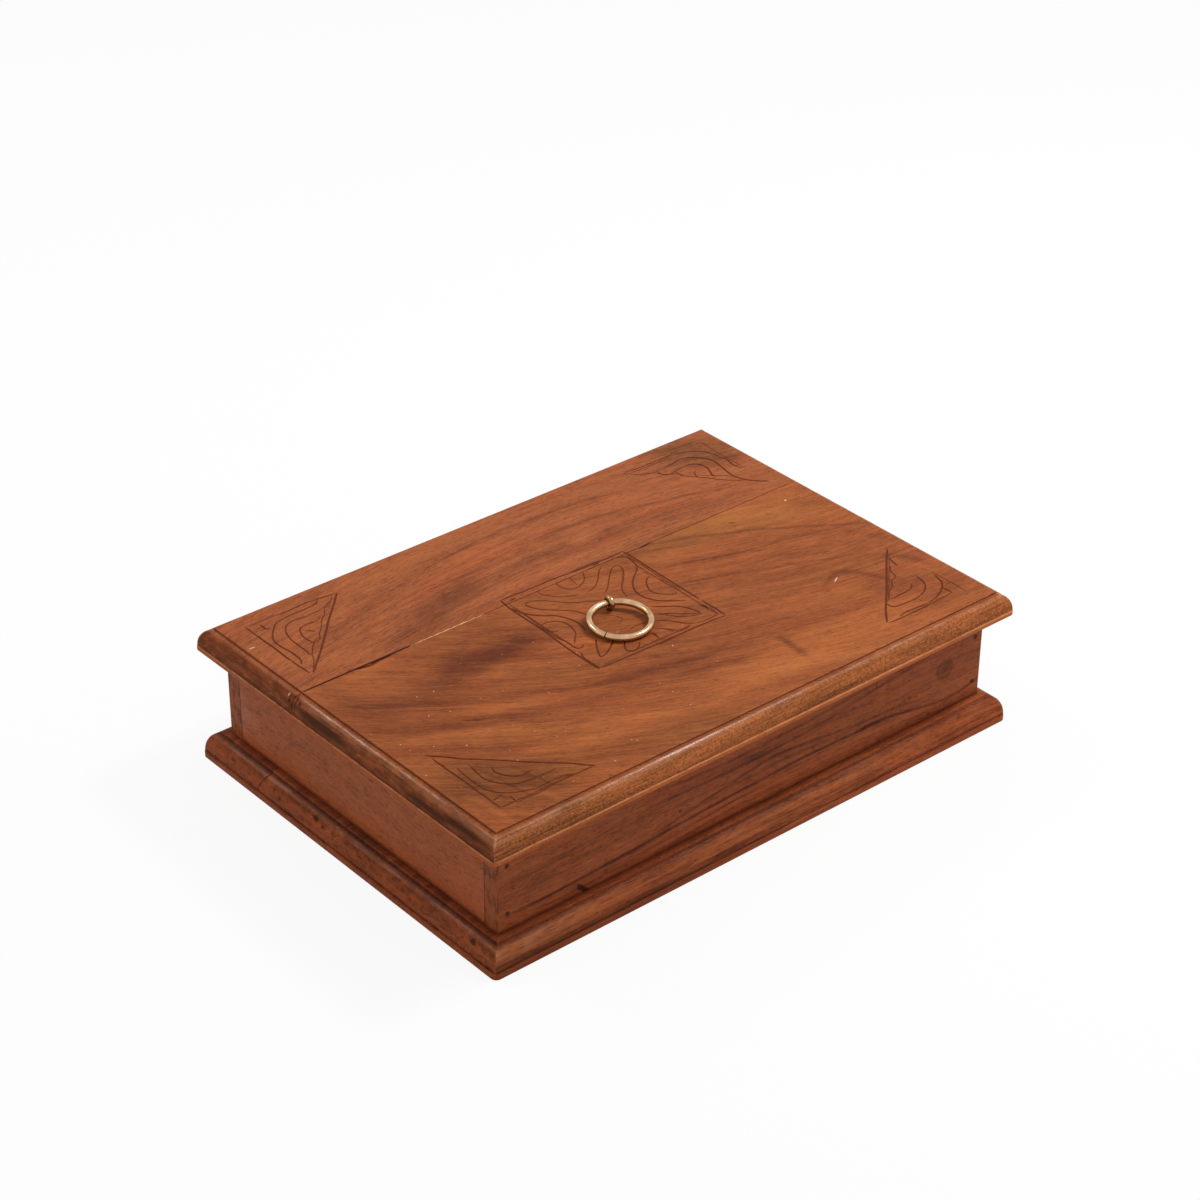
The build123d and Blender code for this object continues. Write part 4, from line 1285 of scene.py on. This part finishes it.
WALL_HABITS = {
    "wall_front": dict(
        turn=(0, 1, 0), centre=(40, -95, 20), bands=(260, 14, 12), band_share=0.25,
        streaks=(140, 3, 1.6), streak_share=0.35, vein_share=0.2,
    ),
    "wall_back": dict(turn=(0, 3, 0), centre=(-60, 95, 70), bands=(260, 14, 12), band_share=0.7),
    "wall_left": dict(
        turn=(0, 0, 90), centre=(-140, 20, 90), band_share=0.12, streak_share=0.15, vein_share=0
    ),
    "wall_right": dict(turn=(0, 0, 90), centre=(140, -20, 10), band_share=0.4, vein_share=0.3),
}

# Knots of the front wall: strength, centre and half axes
WALL_KNOTS = [
    (0.5, (118.8, WALL_Y, 36.9), (6.6, 3, 6.2)),
    (0.3, (-65.5, WALL_Y, 36.7), (3.4, 3, 3.4)),
    (0.7, (-42.6, WALL_Y, 31.1), (1.1, 3, 1.1)),
    (0.7, (50.4, WALL_Y, 28.5), (0.7, 3, 0.7)),
]


def wall_material(name, look):
    """Wall of the case: knots on the front, mottled wood on the short walls, end grain on the long, and
    painted shade along the bottom where it meets the base.
    """
    mix = new_bench(name)
    x, y, z = mix.parts(mix.here)
    long = name in ("wall_front", "wall_back")
    front = name == "wall_front"
    tones = (look.wall_light, look.wall_mid if long else look.side_mid, look.wall_dark)
    figure = None
    if front:
        where = mix.framed(mix.here, turn=(90, 0, 0))
        figure = drawn_figure(mix, where, WALL_FIGURE, (30, 12, 9), (0.6, 0.5, 0))
    paint, height, pores = hardwood(mix, tones, figure=figure, even=0.9, **WALL_HABITS[name])
    dark = deeper(look.wall_dark, 0.8)
    if front:
        bent = mix.swayed(mix.here, (7, 7, 7), (0.8, 0, 0.8))
        for strength, centre, size in WALL_KNOTS:
            far = mix.far(bent, centre, size)
            rings = (far * 9.0).maths("SINE") * 0.15 + 0.85
            paint.lay(far.fall(0.7, 1.0) * rings * strength, dark)
        dent = mix.far(bent, (-97.5, WALL_Y, 16.4), (5.4, 3, 1.8), (0, 45, 0))
        paint.lay(dent.fall(0.5, 1.0) * 0.9, dark, 0.7)
    if not long:
        speckle = mix.cloud((0.9, 0.9, 0.9), detail=2).rise(0.55, 0.7)
        paint.lay(speckle * 0.35, look.wall_light, 1.1)
        motes = mix.cloud((1.7, 1.7, 1.5), (9, 9, 1), detail=2, rough=0.5).rise(0.66, 0.76)
        cloud = mix.cloud((16, 16, 9), (4, 1, 7), detail=4, rough=0.65).rise(0.4, 0.7)
        paint.lay(motes * 0.5, dark)
        paint.lay(cloud * 0.12, dark)
    paint.lay(z.fall(BASE_TOP + 1, BASE_TOP + 12) * 0.35, WARMER, mode="MULTIPLY")
    # Painted shade: the wall darkens towards the bottom, where it meets the base
    paint.lay(z.fall(BASE_TOP, BASE_TOP + 2.5) * 0.5, dark)
    if long:
        dots = mix.cloud((0.8, 0.8, 0.8), detail=2, rough=0.7).rise(0.45, 0.62)
        ends = Paint(mix, dots * 0.35, deeper(look.side_mid, 0.8), deeper(look.side_mid, 0.35))
        ends.lay(mix.cloud((5, 3, 7), (3, 1, 4)).rise(0.45, 0.65) * 0.6, dark)
        seam = abs(abs(y) + WALL_Y + WALL_THICKNESS).fall(0.1, 0.9)
        ends.lay(seam * 0.7, dark)
        paint.lay(abs(x).rise(-WALL_X - 0.35, -WALL_X - 0.15), ends)
    haze = y.rise(40, 104) * 0.14 + 0.04 if name == "wall_left" else 0.04
    return varnished(mix, paint, height, pores, coat=haze)


def base_material(name, look, rear):
    """Board of the base: reddish and glossy, with dark marks on its left moulding, and painted highlights
    and painted shade on its mouldings.
    """
    mix = new_bench(name)
    here = mix.here
    tones = (look.base_light, look.base_mid, look.base_dark)
    turn, centre = ((0, 0, 2), (40, 80, 3)) if rear else ((0, 0, -2), (10, -10, 4))
    habit = dict(streaks=(90, 3, 2), streak_share=0.6, vein_share=0.4)
    paint, height, pores = hardwood(mix, tones, turn, centre, **habit)
    measures = edge_masks(mix, BASE_TOP - QUIRK, BASE_LEDGE)
    x, _, z, out, off_mitre, moulding, ends, down = measures
    longs = moulding * (1 - ends)
    left = ends * x.fall(-2, 2)
    cloud = mix.cloud((8, 12, 5), (3, 9, 1))
    paint.lay(left * cloud.rise(0.4, 0.62) * 0.3, look.base_mid, 0.45)
    # Painted shade: the top of the ovolo is darkened
    paint.lay(moulding * down.fall(12, 30) * (ends * 0.25 + 0.35), look.base_dark)
    ember = mix.cloud((6, 14, 2.5), (2, 8, 9)).rise(0.42, 0.62)
    paint.lay(left * ember * down.rise(35, 60) * 0.7, look.ember)
    gold = mix.cloud((40, 40, 1.3), (5, 5, 2), at=mix.swayed(here, (25, 25, 8), (0, 0, 0.9)))
    golden = longs * down.rise(20, 40)
    paint.lay(golden * gold.rise(0.45, 0.65) * (x.fall(-20, 120) * 0.3 + 0.2), look.gold)
    paint.lay(golden * gold.fall(0.3, 0.45) * 0.35, look.base_dark)
    blot = mix.cloud((3, 5, 3), (8, 1, 5), rough=0.65).rise(0.56, 0.68)
    paint.lay(blot * ends * moulding * 0.55, look.base_dark)
    short = mix.cloud((3.2, 3.2, 0.35), (6, 1, 4), detail=2).rise(0.58, 0.68)
    paint.lay(short * moulding * (1 - ends) * 0.6, look.base_dark, 0.9)
    bent = mix.swayed(here, (3, 3, 3), (0.8, 0.8, 0.8), detail=2)
    dots = summed([mix.spot(bent, centre, size) for centre, size in BASE_DOTS])
    paint.lay(dots.maths("MINIMUM", 1.0) * left * 0.8, look.base_dark, 0.6)
    # Painted shade: the bottom of the ovolo is darkened, most at its left end
    paint.lay(longs * down.rise(58, 84) * x.fall(-80, 60) * 0.55, look.base_dark)
    # Painted shade: a dark line just above the ledge, at the lip
    grime_and_shade = abs(z - BASE_LEDGE - 0.15).fall(0.1, 0.7) * out.rise(4.4, 5.2)
    paint.lay(grime_and_shade * 0.4, look.base_dark, 0.9)
    lip = z.fall(BASE_LEDGE - 0.1, BASE_LEDGE) * out.rise(5.4, 6.2)
    paint.lay(lip * 0.3, look.ember)
    # Painted shade: the top of the base is darkened where it meets the wall
    hollow_shade = out.fall(-4.0, -1.0) * z.rise(BASE_TOP - 1.5, BASE_TOP - 0.5)
    paint.lay(hollow_shade * 0.55, look.base_dark, 0.9)
    # Painted highlight: a broken pale band along the crown of the front and back mouldings, brightest
    # towards the left
    broken = mix.cloud((9, 9, 1.2)).rise(0.35, 0.62)
    rough = mix.cloud((7, 16, 0.8), (1, 8, 8), rough=0.7).rise(0.42, 0.66)
    crown = moulding * down.rise(16, 30) * down.fall(44, 66)
    near = x.fall(-140, -60) * 0.15 + 0.25
    paint.lay(crown * broken * (1 - ends) * near, look.sheen)
    # Painted highlights: broken pale lines along the ridge of the end mouldings, a glossy patch at the
    # left of the long ones, and the mitres
    ridge = moulding * down.rise(18, 26) * down.fall(30, 40) * ends
    wet_highlight = longs * x.fall(-128, -96) * down.rise(16, 30) * down.fall(60, 84)
    mitre = off_mitre.fall(0.0, 1.8) * moulding * down.rise(14, 30) * down.fall(50, 84)
    highlight_flecks = (ridge * 0.45 + wet_highlight * 0.4 + mitre * 0.35) * (rough * 0.8 + 0.2)
    paint.lay(highlight_flecks.maths("MINIMUM", 0.7), look.sheen)
    paint.lay(x.rise(60, 150) * moulding, DULLER, mode="MULTIPLY")
    gloss = crown * broken * (1 - ends) * near * 0.7 + highlight_flecks * 0.7 + ridge * 0.3 + 0.02
    return varnished(mix, paint, height, pores, rough=0.36, coat=gloss)


def dressed(node, material):
    """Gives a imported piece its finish."""
    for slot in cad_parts[node].material_slots:
        slot.material = material


class BOX_OT_work_base(bpy.types.Operator):
    """Cut the crack into the base boards and rub their arrises"""

    bl_idname = "storage_box.work_base"
    bl_label = "Work base boards"

    def execute(self, context):
        sizes = context.scene.box_carving
        look = context.scene.box_timber
        runs = [down_ovolo(offsets, BASE_TOP, BASE_LEDGE) for offsets in BASE_CRACKS]
        for node in ("base_front_board", "base_rear_board"):
            rear = node == "base_rear_board"
            piece = rubbed(merged_copy(node, node.replace("board", "worked")), sizes.arris_round)
            width, depth = sizes.crack_width / MM, sizes.crack_depth / MM
            cut(piece, [surface_cutter(path, normals, width, depth) for path, normals in runs])
            shaded(piece.data)
            settle(piece, base_material(piece.name, look, rear), "case", node)
        return {"FINISHED"}


class BOX_OT_dress_walls(bpy.types.Operator):
    """Finish the walls of the case"""

    bl_idname = "storage_box.dress_walls"
    bl_label = "Finish walls"

    def execute(self, context):
        look = context.scene.box_timber
        for node in ("wall_front", "wall_back", "wall_left", "wall_right"):
            dressed(node, wall_material(node, look))
        return {"FINISHED"}


class BOX_OT_dress_battens(bpy.types.Operator):
    """Finish the bare battens under the lid"""

    bl_idname = "storage_box.dress_battens"
    bl_label = "Finish battens"

    def execute(self, context):
        look = context.scene.box_timber
        tones = (look.bare_light, look.bare_mid, look.bare_dark)
        for node, shift in (("lid_batten_left", 0), ("lid_batten_right", 60)):
            mix = new_bench(node)
            wood = hardwood(mix, tones, (0, 0, 90), (shift, 10, 50), pore_share=0.4)
            dressed(node, varnished(mix, *wood, rough=0.6, coat=0.0))
        return {"FINISHED"}


class BOX_OT_dress_nails(bpy.types.Operator):
    """Finish the iron nails"""

    bl_idname = "storage_box.dress_nails"
    bl_label = "Finish nails"

    def execute(self, context):
        metal = context.scene.box_metal
        mix = new_bench("nail_iron_finish")
        rust = mix.cloud((0.9, 0.9, 0.9), detail=4, rough=0.65).rise(0.4, 0.62)
        pits = mix.cloud((0.3, 0.3, 0.3), detail=2, rough=0.5)
        paint = Paint(mix, rust, metal.iron, metal.rust)
        x, y, z = mix.parts(mix.here)
        aside = abs(x) - NAIL_X
        apart = z - (z - NAIL_MID).maths("SIGN") * NAIL_HALF_SPACING - NAIL_MID
        far = (aside * aside + apart * apart).maths("SQRT") + rust * 0.3
        varnished_over = far.rise(0.75, 1.1) * abs(y).rise(97, 97.3)
        paint.lay(varnished_over, context.scene.box_timber.wall_mid, 0.8)
        iron = mix.finish(
            Base_Color=paint.colour,
            Metallic=(1 - varnished_over) * 0.1,
            Roughness=rust * 0.3 + 0.45,
            Specular_IOR_Level=0.08,
            Normal=mix.bump(pits * 0.04),
        )
        for node in sorted(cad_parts):
            if "nails" in node:
                dressed(node, iron)
        return {"FINISHED"}


class BOX_OT_dress_ring(bpy.types.Operator):
    """Finish the brass ring and the split pin"""

    bl_idname = "storage_box.dress_ring"
    bl_label = "Finish ring pull"

    def execute(self, context):
        metal = context.scene.box_metal
        for node, brown in (("pull_ring", 0.2), ("split_pin", 0.55)):
            mix = new_bench(node)
            cloud = mix.cloud((9, 9, 9), rough=0.5)
            tarnish = cloud.rise(0.42, 0.8)
            across = mix.framed(mix.here, turn=(20, 35, 10))
            scratch = mix.cloud((3.0, 0.4, 0.4), detail=2, rough=0.5, at=across)
            paint = Paint(mix, cloud.rise(0.25, 0.6), metal.brass_bright, metal.brass)
            paint.lay(tarnish * brown + brown * 0.3, metal.brass_brown)
            brass = mix.finish(
                Base_Color=paint.colour,
                Metallic=1.0,
                Roughness=tarnish * 0.1 + scratch * 0.06 + 0.19,
                Normal=mix.bump(scratch * 0.003),
            )
            dressed(node, brass)
        return {"FINISHED"}


# Lamps: name, the property with the power, sides and place in metres
LAMPS = (
    ("right_lamp", "right_power", (0.3, 0.36), (0.7, -0.22, 1.0)),
    ("back_lamp", "back_power", (0.3, 0.24), (-0.36, 0.84, 0.92)),
)
LAMP_TARGET = (0, 0, 0.03)


def standing(right, up, back, place):
    """Matrix of a lamp or a camera whose own x, y and z point right, up and back."""
    matrix = np.eye(4)
    matrix[:3, :3] = np.stack([right, up, back], axis=1)
    matrix[:3, 3] = place
    return Matrix(matrix.tolist())


class BOX_OT_stage(bpy.types.Operator):
    """Set the floor, the lamps, the even light and the camera"""

    bl_idname = "storage_box.stage"
    bl_label = "Stage"

    def execute(self, context):
        studio = context.scene.box_studio
        scene = context.scene
        half = studio.floor_side / 2 / MM
        mesh = bpy.data.meshes.new("floor")
        corners = [(x * half * MM, y * half * MM, 0.0) for x, y in ((-1, -1), (1, -1), (1, 1), (-1, 1))]
        mesh.from_pydata(corners, [], [(0, 1, 2, 3)])
        mix = Bench(bpy.data.materials.new("floor_white"))
        diffuse = mix.node("ShaderNodeBsdfDiffuse", inputs={"Color": FLOOR_WHITE})
        glow = mix.node("ShaderNodeEmission", inputs={"Color": (1, 1, 1, 1), "Strength": 1.0})
        parts = {0: self.seen_rays(mix) * FLOOR_GLOW, 1: diffuse, 2: glow}
        both = mix.node("ShaderNodeMixShader", inputs=parts)
        mix.node("ShaderNodeOutputMaterial", inputs={"Surface": both})
        linked("floor", mesh, mix.owner)
        for name, setting, size, place in LAMPS:
            self.lamp(name, getattr(studio, setting), size, place)
        self.world(scene, studio)
        right, up, back = camera_axes(studio)
        camera = bpy.data.objects.new("camera", bpy.data.cameras.new("camera"))
        scene.collection.objects.link(camera)
        camera.data.lens = studio.lens
        camera.data.sensor_width = SENSOR_WIDTH
        camera.matrix_world = standing(right, up, back, studio.camera_place)
        scene.camera = camera
        scene.view_settings.view_transform = "Standard"
        return {"FINISHED"}

    @staticmethod
    def seen_rays(mix):
        """1 for rays of the camera and for what gloss and glass show."""
        path = mix.node("ShaderNodeLightPath").socket.node
        kinds = ("Is Camera Ray", "Is Glossy Ray", "Is Transmission Ray")
        camera, glossy, through = (Shade(mix, path.outputs[kind]) for kind in kinds)
        return camera.maths("MAXIMUM", glossy).maths("MAXIMUM", through)

    @staticmethod
    def lamp(name, watts, size, place):
        """Soft rectangular lamp at a place, facing the box."""
        data = bpy.data.lights.new(name, "AREA")
        data.shape = "RECTANGLE"
        data.size, data.size_y = size
        data.energy = watts
        lamp = bpy.data.objects.new(name, data)
        bpy.context.scene.collection.objects.link(lamp)
        back = np.array(place, float) - LAMP_TARGET
        back /= np.linalg.norm(back)
        right = np.cross((0, 1, 0), back)
        right /= np.linalg.norm(right)
        lamp.matrix_world = standing(right, np.cross(back, right), back, place)

    def world(self, scene, studio):
        """Even light all round, which shows as white to the camera and in gloss."""
        scene.world = bpy.data.worlds.new("studio")
        mix = Bench(scene.world)
        seen = self.seen_rays(mix)
        strength = seen * (1 - studio.fill) + studio.fill
        white = mix.node("ShaderNodeBackground", inputs={"Color": (1, 1, 1, 1), "Strength": strength})
        mix.node("ShaderNodeOutputWorld", inputs={"Surface": white})


OPERATORS = (
    BOX_OT_carve_lid,
    BOX_OT_fill_joint,
    BOX_OT_work_base,
    BOX_OT_dress_walls,
    BOX_OT_dress_battens,
    BOX_OT_dress_nails,
    BOX_OT_dress_ring,
    BOX_OT_stage,
)


class VIEW3D_PT_storage_box(bpy.types.Panel):
    """Sizes, colours and steps of the storage box"""

    bl_label = "Storage Box"
    bl_idname = "VIEW3D_PT_storage_box"
    bl_space_type = "VIEW_3D"
    bl_region_type = "UI"
    bl_category = "Storage Box"

    def draw(self, context):
        for operator in OPERATORS:
            self.layout.operator(operator.bl_idname)
        for group in GROUPS:
            column = self.layout.column()
            values = getattr(context.scene, group)
            for key in values.__annotations__:
                column.prop(values, key)


CLASSES = (*GROUPS.values(), *OPERATORS, VIEW3D_PT_storage_box)


def register():
    for made in CLASSES:
        bpy.utils.register_class(made)
    for name, group in GROUPS.items():
        setattr(bpy.types.Scene, name, bpy.props.PointerProperty(type=group))


def unregister():
    for name in GROUPS:
        delattr(bpy.types.Scene, name)
    for made in reversed(CLASSES):
        bpy.utils.unregister_class(made)


def main():
    register()
    for operator in OPERATORS:
        group, name = operator.bl_idname.split(".")
        getattr(getattr(bpy.ops, group), name)()


if __name__ == "__main__":
    main()
